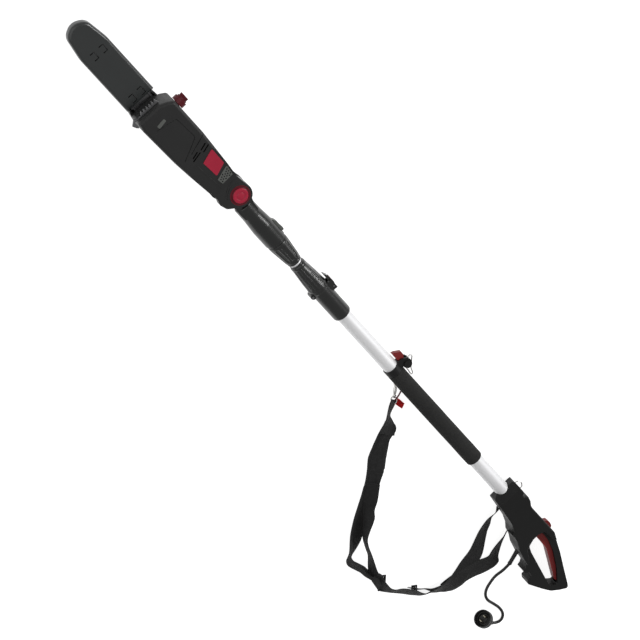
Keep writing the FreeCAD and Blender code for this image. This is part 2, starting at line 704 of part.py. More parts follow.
def clamp_collar():
    """Cone that squeezes the inner tube, and the sleeve fixed on the outer tube."""
    shape = spin("CollarConeBody", [
        (217, 13.57), (217, 15.2, 1), (222, 16.6, 4), (262, 20.4, 30), (291, 22), (291, 13.57)])
    cheeks = [box("Cheek%d" % i, (296, 14, z), (319, 30, z + 3.6))
              for i, z in enumerate((AXIS_Z - 10.4, AXIS_Z + 6.8))]
    boss = cylinder("ScrewBoss", 6.5, 20, (299, -20, AXIS_Z - 10))
    keep("collar_cone", shape)
    sleeve = spin("CollarSleeveBody", [
        (291.2, 13.57), (291.2, 21.4, 1), (298, 21.4), (300, 20.6), (381.5, 20.6, 6), (381.5, 16),
        (304, 16), (304, 13.57)])
    blank = fuse("SleeveBlank", sleeve, boss, *cheeks)
    inner_way = along_x("SleeveWay", 285, 304, "Sizes.slide_bore")
    tube_way = along_x("SleeveTubeWay", 304, 400, "Sizes.tube_radius")
    pin_way = cylinder("LeverPinWay", 1.5, 60, (312, 25.5, 0))
    screw_way = cylinder("ClampScrewWay", 2.5, 60, (299, -22.6, 0))
    lever_way = box("LeverWay", (290, 20.7, AXIS_Z - 6.7), (320, 24, AXIS_Z + 6.7))
    keep("collar_sleeve", cut("CollarSleeve", blank, inner_way, tube_way, pin_way,
                              screw_way, lever_way))
    keep("lever_pin", cylinder("LeverPin", 1.5, 20.8, (312, 25.5, AXIS_Z - 10.4)))
    keep("clamp_screw", cylinder("ClampScrew", 2.5, 24, (299, -22.6, AXIS_Z - 12)))


def clamp_lever():
    """Cam lever over the collar, with a red thumb pad let into it."""
    body = new_body("ClampLever", "Sizes.axis_height - 6.5")
    pad(body, "LeverArm", [[(316.2, 22, 3.5), (316.2, 29, 3.5), (306, 31.5, 6), (286, 30, 4),
                            (278, 26.4, 1), (278, 24.5), (300, 24.6)]], 13)
    pocket(body, "LeverHole", [circle((312, 25.5), 1.56)], 20, -1)
    seat = box("PadSeat", (290, 29.2, AXIS_Z - 4.5), (306, 40, AXIS_Z + 4.5))
    keep("clamp_lever", cut("ClampLeverCut", body, seat))
    keep("lever_pad", box("LeverPad", (290, 29.2, AXIS_Z - 4.5), (306, 31.6, AXIS_Z + 4.5)))


def foam_grip():
    tube = SIZE["tube_radius"]
    foam = SIZE["foam_radius"]
    sleeve = spin("FoamGrip", [(568.3, tube), (568.3, foam, 2), (863, foam, 2), (863, tube)])
    keep("foam_grip", sleeve)


BOLT = (568.0, 29.7)
LEVER_PIN = (556.5, 25.0)


def strap_bracket():
    """Band round the tube with two ears on top and a strap eye underneath."""
    band = along_x("BandOuter", 552, 568, "Sizes.tube_radius + 2.4")
    ear_outline = [(552, 14), (551, 26, 3), (558, 38, 6), (567, 41, 6), (579, 38, 9),
                   (581, 26, 6), (572, 20.4, 2), (567.9, 19.6), (567.9, 14)]
    ears = []
    for i, z in enumerate((AXIS_Z - 9.5, AXIS_Z + 5)):
        ear = new_body("BracketEar%d" % i, str(z))
        pad(ear, "EarPlate%d" % i, [ear_outline], 4.5)
        ears.append(ear)
    eye = new_body("StrapEye", "4.6")
    pad(eye, "EyePlate", [[(553, -9, 2), (600, -17, 5), (600, -2, 5), (553, 9, 2)],
                          circle((593, -9), 3.2)], 3.4)
    web = box("EyeWeb", (553, -6, 5), (567.8, 6, 16))
    blank = fuse("BracketBlank", band, eye, web, *ears)
    tube_way = along_x("BandBore", 540, 580, "Sizes.tube_radius")
    bolt_way = cylinder("BoltWay", 3, 60, (*BOLT, 0))
    peg = cylinder("BracketPeg", 1.5, 19, (*LEVER_PIN, AXIS_Z - 9.5))
    bracket = cut("BracketCut", blank, tube_way, bolt_way)
    keep("strap_bracket", fuse("StrapBracket", bracket, peg))
    shank = cylinder("BoltShank", 3, 19, (*BOLT, AXIS_Z - 9.5))
    head = cylinder("BoltHead", 6.5, 3, (*BOLT, AXIS_Z + 9.5))
    nut = cylinder("BoltNut", 5, 3, (*BOLT, AXIS_Z - 12.5))
    keep("bracket_bolt", fuse("BracketBolt", shank, head, nut))


def bracket_lever():
    """Red lever that frees the bracket's clip."""
    body = new_body("BracketLever", "Sizes.axis_height - 4.7")
    pad(body, "RedLever", [[(529, 19.2), (531, 25), (540, 37, 2), (549, 36.4, 2), (560.4, 28, 3),
                            (560.4, 22, 3), (552, 20.2), (545, 19.2)]], 9.4)
    pocket(body, "RedLeverHole", [circle(LEVER_PIN, 1.56)], 20, -1)
    keep("bracket_lever", body)


def bent_wire(name, corners, height):
    """A closed round wire in a level plane, swept along rounded corners."""
    path = Part.Wire([e.toShape() for e in rounded(corners)])
    path.translate(Vector(0, 0, height))
    start = path.Edges[0]
    direction = start.tangentAt(start.FirstParameter)
    profile = Part.Wire(Part.makeCircle(SIZE["wire_radius"],
                                        start.valueAt(start.FirstParameter), direction))
    skin = path.makePipeShell([profile], False, False, 2)
    obj = add("Part::Feature", name)
    obj.Shape = Part.Solid(Part.Shell(skin.Faces))
    return obj


def wire_clips():
    """Loose wire clips at the bracket and at the top of the handle."""
    clip = bent_wire("BracketClip", [(562, 47, 4), (568, 48.5, 4), (588, 30, 4), (600, 26, 2.2),
                                     (601, 20.8, 2.2), (588, 22.6, 3), (564, 22.8, 3)], AXIS_Z)
    keep("bracket_clip", clip)
    ring = bent_wire("HandleClip", [(CLIP_LEGS[0], CLIP_Y, 2.5), (980, 35.5, 4), (991, 40.5, 4),
                                    (1000, 35, 4), (CLIP_LEGS[1], CLIP_Y, 2.5)], AXIS_Z)
    keep("handle_clip", ring)


# ---------------------------------------------------------------- rear handle

CLIP_Y = 26.0
CLIP_LEGS = (980.0, 996.0)
SCREW_PLACES = [(1000, -24), (1016, 22.5), (1060, -38), (1132, -58), (1196, -81), (1216, -73)]

TRUNK = [
    (964, -15, 3), (969, -28, 5), (998, -31, 12), (1036, -35.5, 20), (1055, -42, 6),
    (1068, -50.5, 6), (1084, -54, 6), (1101, -62, 5), (1128, -68, 8), (1144, -70), (1138, -60),
    (1113, -47, 3), (1104, -36, 6), (1103, -8, 10), (1108, 6, 6), (1140, 6), (1146, 13.5),
    (1127, 21, 10), (1042, 20.5, 6), (1034, 21.5, 3), (1024, 27.5, 5), (1010, 30.5, 4),
    (1004, 24, 3), (999, 24, 3), (996, 30, 6), (966, 30, 6), (966, 15, 3),
]
RING = [
    (1090, -50), (1101, -62, 5), (1128, -68, 8), (1147, -71, 3), (1152, -77, 2),
    (1154, -86, 3), (1163, -85, 3), (1167, -77.5, 3), (1178, -79, 2), (1179, -92, 3),
    (1188, -97.5, 5), (1226, -80, 25), (1243, -70.5, 10), (1257, -55, 10), (1268, -39, 5),
    (1260, -33.5, 12), (1223.5, -17.5, 40), (1183, 1, 40), (1150, 13.5, 40), (1127, 21, 10),
    (1090, 21),
]
OPENING = [
    (1110, -11, 6), (1110.6, -23), (1117, -40, 6), (1132, -45.5), (1229, -65, 5), (1243, -50, 5),
    (1207, -26.5, 30), (1168, -8, 30), (1140, -0.5, 20), (1113, 1, 6),
]
TRIGGER_ROOM = [
    (1110, -16, 3), (1110, 12, 4), (1142, 11, 20), (1184, -4.5, 20), (1247, -33, 4),
    (1247, -50, 3), (1233, -52, 3), (1180, -22), (1150, -8),
]


def handle_shell(label, up):
    """Half of the rear handle, built outwards from the parting plane."""
    body = new_body(label.title().replace("_", ""), "Sizes.axis_height")
    pad(body, label + "_trunk", [TRUNK], "Sizes.trunk_half", down=not up)
    far = SIZE["trunk_half"] if up else -SIZE["trunk_half"]
    soften(body, label + "_round", 3.0, at_height(far))
    side = 1 if up else -1
    slant(body, label + "_slant", [(961, 3 * side), (961, 32 * side), (982.4, 32 * side)])
    pad(body, label + "_ring", [RING, OPENING], "Sizes.grip_half", down=not up)
    room = [(1046, -28, 4), (1090, -42, 4), (1098, -20, 4), (1098, 14, 4), (1046, 14, 4)]
    pocket(body, label + "_room", [room], 24, up=up)
    pocket(body, label + "_slot", [TRIGGER_ROOM], "Sizes.trigger_width / 2 + 0.4", up=up)
    button_way = [(1100.5, 10), (1126.5, 10), (1126.5, 40), (1100.5, 40)]
    pocket(body, label + "_button_way", [button_way], 7.4, up=up)
    tube_way = along_x(label + "_tube_way", 900, 1040, "Sizes.tube_radius")
    gland_way = cylinder(label + "_gland_way", 5.2, 30, GLAND_IN, GLAND_DIRECTION)
    clip_way = cylinder(label + "_clip_way", 1.6, 24, (976, CLIP_Y, AXIS_Z), (1, 0, 0))
    leg_ways = [cylinder("%s_leg_way%d" % (label, i), 6, 5, (x - 2.5, CLIP_Y, AXIS_Z), (1, 0, 0))
                for i, x in enumerate(CLIP_LEGS)]
    screw_ways = [cylinder("%s_screw_way%d" % (label, i), 2.2, 16, (x, y, AXIS_Z - 8))
                  for i, (x, y) in enumerate(SCREW_PLACES)]
    hollow = cut(label + "_cut", body, tube_way, gland_way, clip_way, *leg_ways, *screw_ways)
    peg_low = AXIS_Z if up else AXIS_Z - 10
    peg = cylinder(label + "_peg", 1.5, 10, (*TRIGGER_PIN, peg_low))
    return keep(label, fuse(label + "_fused", hollow, peg))


def trigger_group():
    """Trigger lever, lock-off button and the switch block."""
    body = new_body("Trigger", "Sizes.axis_height - Sizes.trigger_width / 2")
    outline = [(1113.5, -15, 3), (1113, 1, 5), (1140, 2.5, 15), (1183, -11, 40),
               (1206, -21, 30), (1239, -36, 4), (1241, -45, 4), (1231, -48, 3), (1190, -30, 40),
               (1156, -15.5, 20), (1130, -14.5, 6)]
    pad(body, "TriggerLever", [outline], "Sizes.trigger_width")
    pocket(body, "TriggerBore", [circle(TRIGGER_PIN, 1.56)], 40, -1)
    keep("trigger", body)
    button = new_body("LockOffButton", "Sizes.axis_height - 7")
    pad(button, "ButtonBlock",
        [[(1101.5, 14.2), (1125.5, 14.2), (1125.5, 21), (1122.5, 25.5, 2), (1113, 28, 6),
          (1105, 26.5, 3), (1101.5, 21)]], 14)
    keep("lock_off_button", button)
    keep("switch_block", box("SwitchBlock", (1054, -22, AXIS_Z - 12), (1094, -2, AXIS_Z + 12)))


TRIGGER_PIN = (1236.0, -41.0)
GLAND_IN = (1110.0, -52.0, 29.0)
GLAND_OUT = (1140.5, -97.0, 10.0)
GLAND_DIRECTION = tuple(b - a for a, b in zip(GLAND_IN, GLAND_OUT))


def handle_screws():
    """Screws through the parting plane of the handle."""
    screws = [cylinder("HandleScrew%d" % i, 2.2, 16, (x, y, AXIS_Z - 8))
              for i, (x, y) in enumerate(SCREW_PLACES)]
    keep("handle_screws", group("HandleScrews", *screws))


# ---------------------------------------------------------------- power cord and plug

# Route of the free cord, from the strain relief's mouth to the plug's tail.
CORD_ROUTE = [
    (1140.5, -97.0, 10.0), (1144.5, -108.0, 6.0), (1146.0, -121.0, 3.6), (1143.5, -137.0, 3.4),
    (1147.0, -154.0, 3.4), (1153.0, -171.0, 3.4), (1163.0, -182.0, 3.4), (1177.0, -186.0, 3.4),
    (1194.0, -181.5, 3.4), (1214.0, -177.5, 3.4), (1232.0, -180.5, 3.4), (1241.0, -191.0, 3.4),
    (1239.0, -204.0, 4.2), (1228.5, -212.0, 6.5),
]
PLUG_FACE = (1186.0, -220.5, 28.0)
PLUG_ELEVATION = 30.0
PLUG_TURN = 8.0


def cord_path(points):
    """Straight runs joined by tangent arcs, each as large as its runs allow."""
    vectors = [Vector(*p) for p in points]
    edges = []
    here = vectors[0]
    for i in range(1, len(vectors) - 1):
        corner = vectors[i]
        back = vectors[i - 1] - corner
        ahead = vectors[i + 1] - corner
        reach = 0.45 * min(back.Length, ahead.Length)
        back.normalize()
        ahead.normalize()
        turn = math.pi - back.getAngle(ahead)
        radius = reach / math.tan(turn / 2)
        print("cord corner %2d  turn %5.1f deg  radius %6.1f mm"
              % (i, math.degrees(turn), radius))
        first = corner + back * reach
        last = corner + ahead * reach
        inward = (back + ahead).normalize()
        middle = corner + inward * (radius / math.cos(turn / 2) - radius)
        edges.append(Part.LineSegment(here, first).toShape())
        edges.append(Part.Arc(first, middle, last).toShape())
        here = last
    edges.append(Part.LineSegment(here, vectors[-1]).toShape())
    return Part.Wire(edges)


def power_cord():
    radius = SIZE["cord_radius"]
    path = cord_path(CORD_ROUTE)
    start = path.Edges[0]
    profile = Part.Wire(Part.makeCircle(radius, start.valueAt(start.FirstParameter),
                                        start.tangentAt(start.FirstParameter)))
    obj = add("Part::Feature", "PowerCord")
    obj.Shape = path.makePipeShell([profile], True, False, 2)
    expected = math.pi * radius ** 2 * path.Length
    print("cord length %.1f mm, volume %.1f of %.1f" % (path.Length, obj.Shape.Volume, expected))
    keep("power_cord", obj)


def strain_relief():
    """Tapered sleeve where the cord leaves the handle."""
    length = Vector(*GLAND_DIRECTION).Length
    sleeve = cone("ReliefSleeve", 5.1, 4.2, length, GLAND_IN, GLAND_DIRECTION)
    keep("strain_relief", sleeve)


def plug():
    """Round shrouded plug with two flat blades and a tapered tail."""
    elevation = math.radians(PLUG_ELEVATION)
    turn = math.radians(PLUG_TURN)
    face = Vector(-math.cos(elevation) * math.cos(turn),
                  -math.cos(elevation) * math.sin(turn), math.sin(elevation))
    centre = Vector(*PLUG_FACE)
    inward = face * -1.0
    shell = cylinder("PlugShell", "Sizes.plug_radius", 14, centre, inward)
    taper = cone("PlugTaper", "Sizes.plug_radius", 9, 14, centre + inward * 14, inward)
    recess = cylinder("PlugRecess", 17.4, 11, centre, inward)
    tail_start = centre + inward * 26
    tail_end = Vector(*CORD_ROUTE[-1])
    tail_run = tail_end - tail_start
    tail = cone("PlugTail", 8.5, 4.2, tail_run.Length, tail_start, tail_run)
    keep("plug_body", cut("PlugBody", fuse("PlugBlank", shell, taper, tail), recess))
    side = Vector(0, 0, 1).cross(face).normalize()
    blades = []
    for i, offset in enumerate((-6.3, 6.3)):
        blade = add("Part::Box", "Blade%d" % i)
        blade.Length, blade.Width, blade.Height = 1.5, 6.5, 11.0
        turned = Rotation(side, Vector(0, 0, 1), face, "ZXY")
        corner = Placement(Vector(-0.75, -3.25, 0), Rotation())
        blade.Placement = Placement(centre + inward * 11 + side * offset, turned).multiply(corner)
        blades.append(blade)
    keep("plug_blades", group("PlugBlades", *blades))


# ---------------------------------------------------------------- carrying strap

def web(name, low, thickness, outline):
    """A flat stretch of webbing that lies on the floor."""
    body = new_body(name, str(low))
    pad(body, name + "Flat", [outline], thickness)
    return body


def strap():
    """Webbing, shoulder pad and sliders from the bracket's eye to the handle."""
    thickness = "Sizes.web_thickness"
    front = web("FrontWeb", 0.6, thickness, [
        (633, -46), (652, -78), (670, -97), (662, -106), (652, -100), (640, -82), (622, -52)])
    pad_outline = [
        (668.6, -101), (690, -88, 6), (699, -98, 6), (714, -122, 20), (752, -157, 20),
        (770, -185, 20), (800, -222, 20), (820, -262, 20), (800, -276), (772, -262, 20),
        (744, -212, 20), (716, -182, 20), (698, -162, 20), (672, -120, 10), (661, -110)]
    keep("shoulder_pad", web("ShoulderPad", 0.4, "Sizes.web_thickness + 3", pad_outline))
    outer_loop = web("LoopOuter", 0.4, thickness, [
        (803, -278.5), (812, -271.5), (828, -292, 20), (846, -318, 10), (854, -334), (844, -340),
        (832, -330, 10), (800, -298, 20), (786, -273.5)])
    inner_loop = web("LoopInner", 0.4, thickness, [
        (816, -268), (824, -262), (840, -282), (874, -296, 20), (912, -311), (908, -318),
        (872, -303, 20), (836, -290)])
    bottom = web("BottomWeb", 0.4, thickness, [
        (848, -345), (860, -335), (884, -327, 20), (914, -323), (942, -302), (970, -318, 10),
        (1001, -302, 20), (1017, -283), (1009, -296, 4), (1000, -318, 20), (966, -346),
        (950, -340, 10), (912, -336, 20), (884, -341, 20), (862, -350)])
    rear = web("RearWeb", 0.4, thickness, [
        (1024, -288), (1040, -282, 10), (1056, -262, 10), (1064, -236, 20), (1058, -200, 20),
        (1044, -160, 20), (1034, -127, 20), (1020, -92, 20), (1012, -60), (1022, -62),
        (1040, -98, 20), (1057, -128, 10), (1074, -122, 10), (1070, -88, 10), (1064, -58),
        (1074, -60), (1090, -88, 10), (1108, -108, 6), (1124, -108, 6), (1118, -140, 20),
        (1106, -170, 20), (1104, -220, 20), (1086, -262, 20), (1060, -284, 20), (1030, -298)])
    keep("strap_webbing", group("StrapWebbing", front, outer_loop, inner_loop, bottom, rear))
    slider = web("Slider", 3.1, 3, [(934, -304, 3), (952, -298, 3), (972, -340, 3), (954, -350, 3)])
    adjuster = web("Adjuster", 3.1, 3, [(1012, -298, 2), (1024, -280, 2), (1040, -288, 2),
                                        (1028, -304, 2)])
    keep("strap_sliders", group("StrapSliders", slider, adjuster))


def snap_hook():
    """Metal hook on the bracket's eye, and the red release tab of the strap."""
    hook = bent_wire("SnapHook", [(586, -12, 4), (590, -4.6, 4), (602, -9, 4), (630, -38, 5),
                                  (628, -47, 5), (616, -47, 5)], 3.0)
    keep("snap_hook", hook)
    tab = [(633, -30, 2), (656, -36, 2), (654, -48, 2), (632, -44, 2)]
    keep("release_tab", web("ReleaseTab", 4.8, 2, tab))


# ---------------------------------------------------------------- build, check, write

def build():
    head_shell_left()
    head_shell_right()
    sprocket_cover()
    guide_bar()
    saw_chain()
    drive_train()
    bar_fixings()
    head_screws()
    bumper_spikes()
    oil_system()
    face_panels()
    tilt_knob()
    scabbard()
    neck_shells()
    neck_latch()
    coupling_nut()
    inner_tube()
    outer_tube()
    clamp_collar()
    clamp_lever()
    foam_grip()
    strap_bracket()
    bracket_lever()
    wire_clips()
    handle_shell("handle_shell_left", True)
    handle_shell("handle_shell_right", False)
    handle_screws()
    trigger_group()
    strain_relief()
    power_cord()
    plug()
    strap()
    snap_hook()
    doc.recompute()


def check():
    for obj in doc.Objects:
        if {"Invalid", "Error"} & set(obj.State):
            raise RuntimeError("%s failed to build: %s" % (obj.Name, obj.State))
    for node in NODES:
        if node.Shape.isNull() or not node.Shape.isValid():
            raise RuntimeError("%s has no valid shape" % node.Label)
        if node.Shape.Volume <= 0:
            raise RuntimeError("%s has no volume" % node.Label)


def write():
    for node in NODES:
        node.Shape.exportStep(os.path.join("parts", node.Label + ".step"))
        print("%-20s %9.0f mm3  %d solids" % (node.Label, node.Shape.Volume,
                                               len(node.Shape.Solids)))
    print("%d sub-parts" % len(NODES))


build()
check()
write()
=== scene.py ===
"""Looks of the corded telescoping pole saw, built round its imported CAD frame. Metres, row frame."""

import json
import math

import bmesh
import bpy
import numpy as np
from mathutils import Matrix, Vector, noise


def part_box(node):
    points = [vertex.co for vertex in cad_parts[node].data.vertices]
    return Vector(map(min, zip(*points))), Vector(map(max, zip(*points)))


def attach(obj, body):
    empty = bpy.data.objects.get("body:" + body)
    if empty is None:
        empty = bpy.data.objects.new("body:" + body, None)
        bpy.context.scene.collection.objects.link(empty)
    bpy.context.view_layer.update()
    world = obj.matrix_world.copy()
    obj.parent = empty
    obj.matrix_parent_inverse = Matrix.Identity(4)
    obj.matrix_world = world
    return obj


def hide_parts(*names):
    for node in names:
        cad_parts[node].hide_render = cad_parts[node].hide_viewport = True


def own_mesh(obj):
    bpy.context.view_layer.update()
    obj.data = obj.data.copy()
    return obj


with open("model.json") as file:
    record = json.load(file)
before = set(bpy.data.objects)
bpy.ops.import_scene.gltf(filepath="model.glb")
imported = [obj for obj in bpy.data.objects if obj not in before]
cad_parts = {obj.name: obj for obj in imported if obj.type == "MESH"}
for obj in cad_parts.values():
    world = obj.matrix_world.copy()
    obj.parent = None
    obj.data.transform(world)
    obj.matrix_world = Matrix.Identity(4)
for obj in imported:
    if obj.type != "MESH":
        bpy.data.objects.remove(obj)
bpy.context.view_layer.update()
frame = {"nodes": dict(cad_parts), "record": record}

MM = 0.001
# Height of the pole's axis over the floor, in mm.
POLE_Z = 29.0


def mm(*values):
    """A point given in millimetres, as a vector in metres."""
    return Vector(values) * MM


# ------------------------------------------------------------------------------ camera

CAMERA_TARGET = Vector((0.35431, -0.04245, 0.030))
CAMERA_DISTANCE = 6.935
CAMERA_LEAN = math.radians(30.7)
CAMERA_ROLL = math.radians(47.46)
CAMERA_LENS = 191.14


def make_camera():
    """Looks down at the tool, leaning along the pole and rolled so that it crosses the frame."""
    back = Vector((-math.sin(CAMERA_LEAN), 0, math.cos(CAMERA_LEAN)))
    along = Vector((math.cos(CAMERA_LEAN), 0, math.sin(CAMERA_LEAN)))
    across = Vector((0, 1, 0))
    right = math.cos(CAMERA_ROLL) * along + math.sin(CAMERA_ROLL) * across
    up = -math.sin(CAMERA_ROLL) * along + math.cos(CAMERA_ROLL) * across
    data = bpy.data.cameras.new("camera")
    data.sensor_width = 36
    data.lens = CAMERA_LENS
    data.clip_end = 50
    camera = bpy.data.objects.new("camera", data)
    bpy.context.scene.collection.objects.link(camera)
    turn = Matrix((right, up, back)).transposed().to_4x4()
    camera.matrix_world = Matrix.Translation(CAMERA_TARGET + back * CAMERA_DISTANCE) @ turn
    bpy.context.scene.camera = camera


make_camera()


# ------------------------------------------------------------------------------ mesh helpers

def link(obj):
    bpy.context.scene.collection.objects.link(obj)
    return obj


def mesh_object(name, bm, smooth=True):
    """An object from a bmesh, with its normals facing outwards."""
    bmesh.ops.recalc_face_normals(bm, faces=bm.faces)
    mesh = bpy.data.meshes.new(name)
    bm.to_mesh(mesh)
    bm.free()
    mesh.polygons.foreach_set("use_smooth", [smooth] * len(mesh.polygons))
    return link(bpy.data.objects.new(name, mesh))


def frame_along(direction):
    """A rotation whose Z axis lies along the direction."""
    return Vector(direction).to_track_quat("Z", "Y").to_matrix().to_4x4()


def lathe(name, profile, origin, direction, segments=64, shape=None):
    """A closed turned piece. The profile is (distance, radius) in mm, along the direction."""
    bm = bmesh.new()
    rings = []
    for distance, radius in profile:
        ring = []
        for k in range(segments):
            angle = 2 * math.pi * k / segments
            r = radius if shape is None else shape(distance, radius, angle)
            ring.append(bm.verts.new(mm(r * math.cos(angle), r * math.sin(angle), distance)))
        rings.append(ring)
    for lower, upper in zip(rings, rings[1:]):
        for k in range(segments):
            following = (k + 1) % segments
            bm.faces.new((lower[k], lower[following], upper[following], upper[k]))
    if profile[0] != profile[-1]:
        for ring in (rings[0], rings[-1]):
            bm.faces.new(ring)
    bmesh.ops.remove_doubles(bm, verts=bm.verts, dist=1e-6)
    place = Matrix.Translation(origin) @ frame_along(direction)
    bmesh.ops.transform(bm, matrix=place, verts=bm.verts)
    return mesh_object(name, bm)


def smooth_path(points, step):
    """Evenly enough spaced points on a Catmull-Rom curve through rows of numbers."""
    rows = np.array(points, float)
    padded = np.vstack([2 * rows[0] - rows[1], rows, 2 * rows[-1] - rows[-2]])
    made = []
    for i in range(1, len(padded) - 2):
        a, b, c, d = padded[i - 1:i + 3]
        count = max(2, int(math.ceil(np.linalg.norm(c[:3] - b[:3]) / step)))
        for k in range(count):
            t = k / count
            made.append(0.5 * (2 * b + (c - a) * t + (2 * a - 5 * b + 4 * c - d) * t * t
                               + (3 * b - a - 3 * c + d) * t ** 3))
    made.append(rows[-1])
    return np.array(made)


def wire(name, points, radius, closed=False):
    """A round wire through points in mm."""
    data = bpy.data.curves.new(name, "CURVE")
    data.dimensions = "3D"
    data.bevel_depth = radius * MM
    data.bevel_resolution = 4
    data.use_fill_caps = not closed
    spline = data.splines.new("NURBS")
    spline.points.add(len(points) - 1)
    for point, place in zip(spline.points, points):
        point.co = (*mm(*place), 1)
    spline.order_u = 3
    spline.use_cyclic_u = closed
    spline.use_endpoint_u = not closed
    data.resolution_u = 8
    return link(bpy.data.objects.new(name, data))


def finish_piece(obj, body, material, slot, *nodes):
    """Material, body and the CAD nodes that the piece stands for. The slot is not used."""
    obj.data.materials.clear()
    obj.data.materials.append(material)
    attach(obj, body)
    if nodes:
        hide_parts(*nodes)
    return obj


# ------------------------------------------------------------------------------ materials

def node(tree, kind, inputs=None, **settings):
    """One shader node, with its inputs set or linked."""
    made = tree.nodes.new("ShaderNode" + kind)
    for name, value in settings.items():
        setattr(made, name, value)
    for key, value in (inputs or {}).items():
        if isinstance(value, bpy.types.NodeSocket):
            tree.links.new(value, made.inputs[key])
        else:
            made.inputs[key].default_value = value
    return made


def colour(values):
    return (*values, 1.0)


class Finish:
    """A principled material that is built up from procedural layers."""

    def __init__(self, name, base, second, roughness, metallic=0.0, specular=0.28):
        self.material = bpy.data.materials.new(name)
        self.material.use_nodes = True
        self.tree = self.material.node_tree
        self.shader = self.tree.nodes["Principled BSDF"]
        self.place = node(self.tree, "TexCoord").outputs["Object"]
        self.colour = self.mix(self.noise(14, 3), colour(base), colour(second))
        self.height = None
        self.shader.inputs["Metallic"].default_value = metallic
        if not metallic:
            self.shader.inputs["Specular IOR Level"].default_value = specular
        mask = self.noise(60, 4)
        spread = node(self.tree, "MapRange", {
            "Value": mask, "To Min": roughness - 0.06, "To Max": roughness + 0.07})
        self.rough = spread.outputs["Result"]

    def stretched(self, scale):
        return node(self.tree, "Mapping", {"Vector": self.place, "Scale": scale}).outputs[0]

    def noise(self, scale, detail, place=None, distortion=0.0):
        made = node(self.tree, "TexNoise", {
            "Vector": place or self.place, "Scale": scale, "Detail": detail,
            "Distortion": distortion})
        return made.outputs["Fac"]

    def cells(self, scale, feature="F1", place=None):
        made = node(self.tree, "TexVoronoi",
                    {"Vector": place or self.place, "Scale": scale}, feature=feature)
        return made.outputs["Distance"]

    def mix(self, factor, a, b):
        made = node(self.tree, "Mix", data_type="RGBA")
        for index, value in ((0, factor), (6, a), (7, b)):
            if isinstance(value, bpy.types.NodeSocket):
                self.tree.links.new(value, made.inputs[index])
            else:
                made.inputs[index].default_value = value
        return made.outputs[2]

    def math(self, operation, a, b=0.0, c=0.0):
        return node(self.tree, "Math", {0: a, 1: b, 2: c}, operation=operation).outputs[0]

    def ramp(self, value, low, high):
        made = node(self.tree, "MapRange", {"Value": value, "From Min": low, "From Max": high},
                    interpolation_type="SMOOTHSTEP")
        return made.outputs["Result"]

    def tint(self, factor, shade):
        self.colour = self.mix(factor, self.colour, colour(shade))
        return self

    def bump(self, height, distance):
        """Adds a layer of relief, in metres."""
        made = node(self.tree, "Bump", {"Height": height, "Distance": distance, "Strength": 1.0})
        if self.height is not None:
            self.tree.links.new(self.height, made.inputs["Normal"])
        self.height = made.outputs["Normal"]
        return self

    def grain(self, scale, distance):
        return self.bump(self.noise(scale, 2), distance)

    def edges(self, radius, shade, strength):
        """Lightens edges, as rubbed wear and as a painted highlight along them, found from the
        difference of a rounded normal.
        """
        rounded_normal = node(self.tree, "Bevel", {"Radius": radius}, samples=4).outputs[0]
        flat_normal = node(self.tree, "NewGeometry").outputs["Normal"]
        agree = node(self.tree, "VectorMath", {0: rounded_normal, 1: flat_normal},
                     operation="DOT_PRODUCT").outputs["Value"]
        # Mask of the edges, which carries both rubbed wear and a painted highlight.
        mask = self.ramp(self.math("SUBTRACT", 1.0, agree), 0.02, 0.30)
        wear_and_highlight = self.math("MULTIPLY", mask, self.ramp(self.noise(90, 4), 0.25, 0.6))
        return self.tint(self.math("MULTIPLY", wear_and_highlight, strength), shade)

    def done(self):
        links = self.tree.links
        links.new(self.colour, self.shader.inputs["Base Color"])
        links.new(self.rough, self.shader.inputs["Roughness"])
        if self.height is not None:
            links.new(self.height, self.shader.inputs["Normal"])
        return self.material


def moulded(name, base, roughness, edge=(0.09, 0.09, 0.09), grain=0.00006, edge_wear_and_highlight=0.5,
            specular=0.28):
    """Moulded plastic: fine spark-eroded grain, faint mottling, and edges lightened as rubbed wear
    and as a painted highlight.
    """
    second = [c * 1.35 + 0.001 for c in base]
    made = Finish(name, base, second, roughness, specular=specular)
    dust = made.ramp(made.noise(35, 5, distortion=0.6), 0.55, 0.8)
    made.tint(made.math("MULTIPLY", dust, 0.10), [c * 1.8 + 0.01 for c in base])
    # Edges lightened in the edge colour: rubbed wear together with a painted highlight.
    made.edges(0.0009, edge, edge_wear_and_highlight)
    made.grain(1500, grain)
    return made.done()


def brushed(name, base, roughness, stretch, metallic=1.0):
    """Drawn or ground metal: fine lines along one direction."""
    made = Finish(name, base, [c * 0.88 for c in base], roughness, metallic=metallic)
    lines = made.noise(1.0, 3, made.stretched(stretch))
    made.tint(made.math("MULTIPLY", made.ramp(lines, 0.45, 0.75), 0.25), [c * 0.75 for c in base])
    made.bump(lines, 0.00002)
    return made.done()


def tube_finish():
    """Satin anodised aluminium with a long drawn grain and faint handling marks."""
    made = Finish("tube_aluminium", (0.74, 0.74, 0.745), (0.69, 0.69, 0.70), 0.58, metallic=0.5)
    lines = made.noise(1.0, 3, made.stretched((6, 900, 900)))
    made.tint(made.math("MULTIPLY", made.ramp(lines, 0.5, 0.8), 0.18), (0.62, 0.62, 0.64))
    smudge = made.ramp(made.noise(22, 4, distortion=1.0), 0.55, 0.75)
    made.tint(made.math("MULTIPLY", smudge, 0.10), (0.66, 0.66, 0.67))
    made.bump(lines, 0.000015)
    return made.done()


def foam_finish():
    """Closed-cell foam: small open pores over a soft, slightly uneven skin."""
    made = Finish("foam", (0.010, 0.010, 0.010), (0.017, 0.017, 0.017), 0.86, specular=0.15)
    pores = made.cells(1300)
    made.tint(made.ramp(pores, 0.35, 0.7), (0.026, 0.026, 0.025))
    made.bump(made.math("SUBTRACT", 1.0, pores), 0.00035)
    made.bump(made.noise(120, 3), 0.0005)
    return made.done()


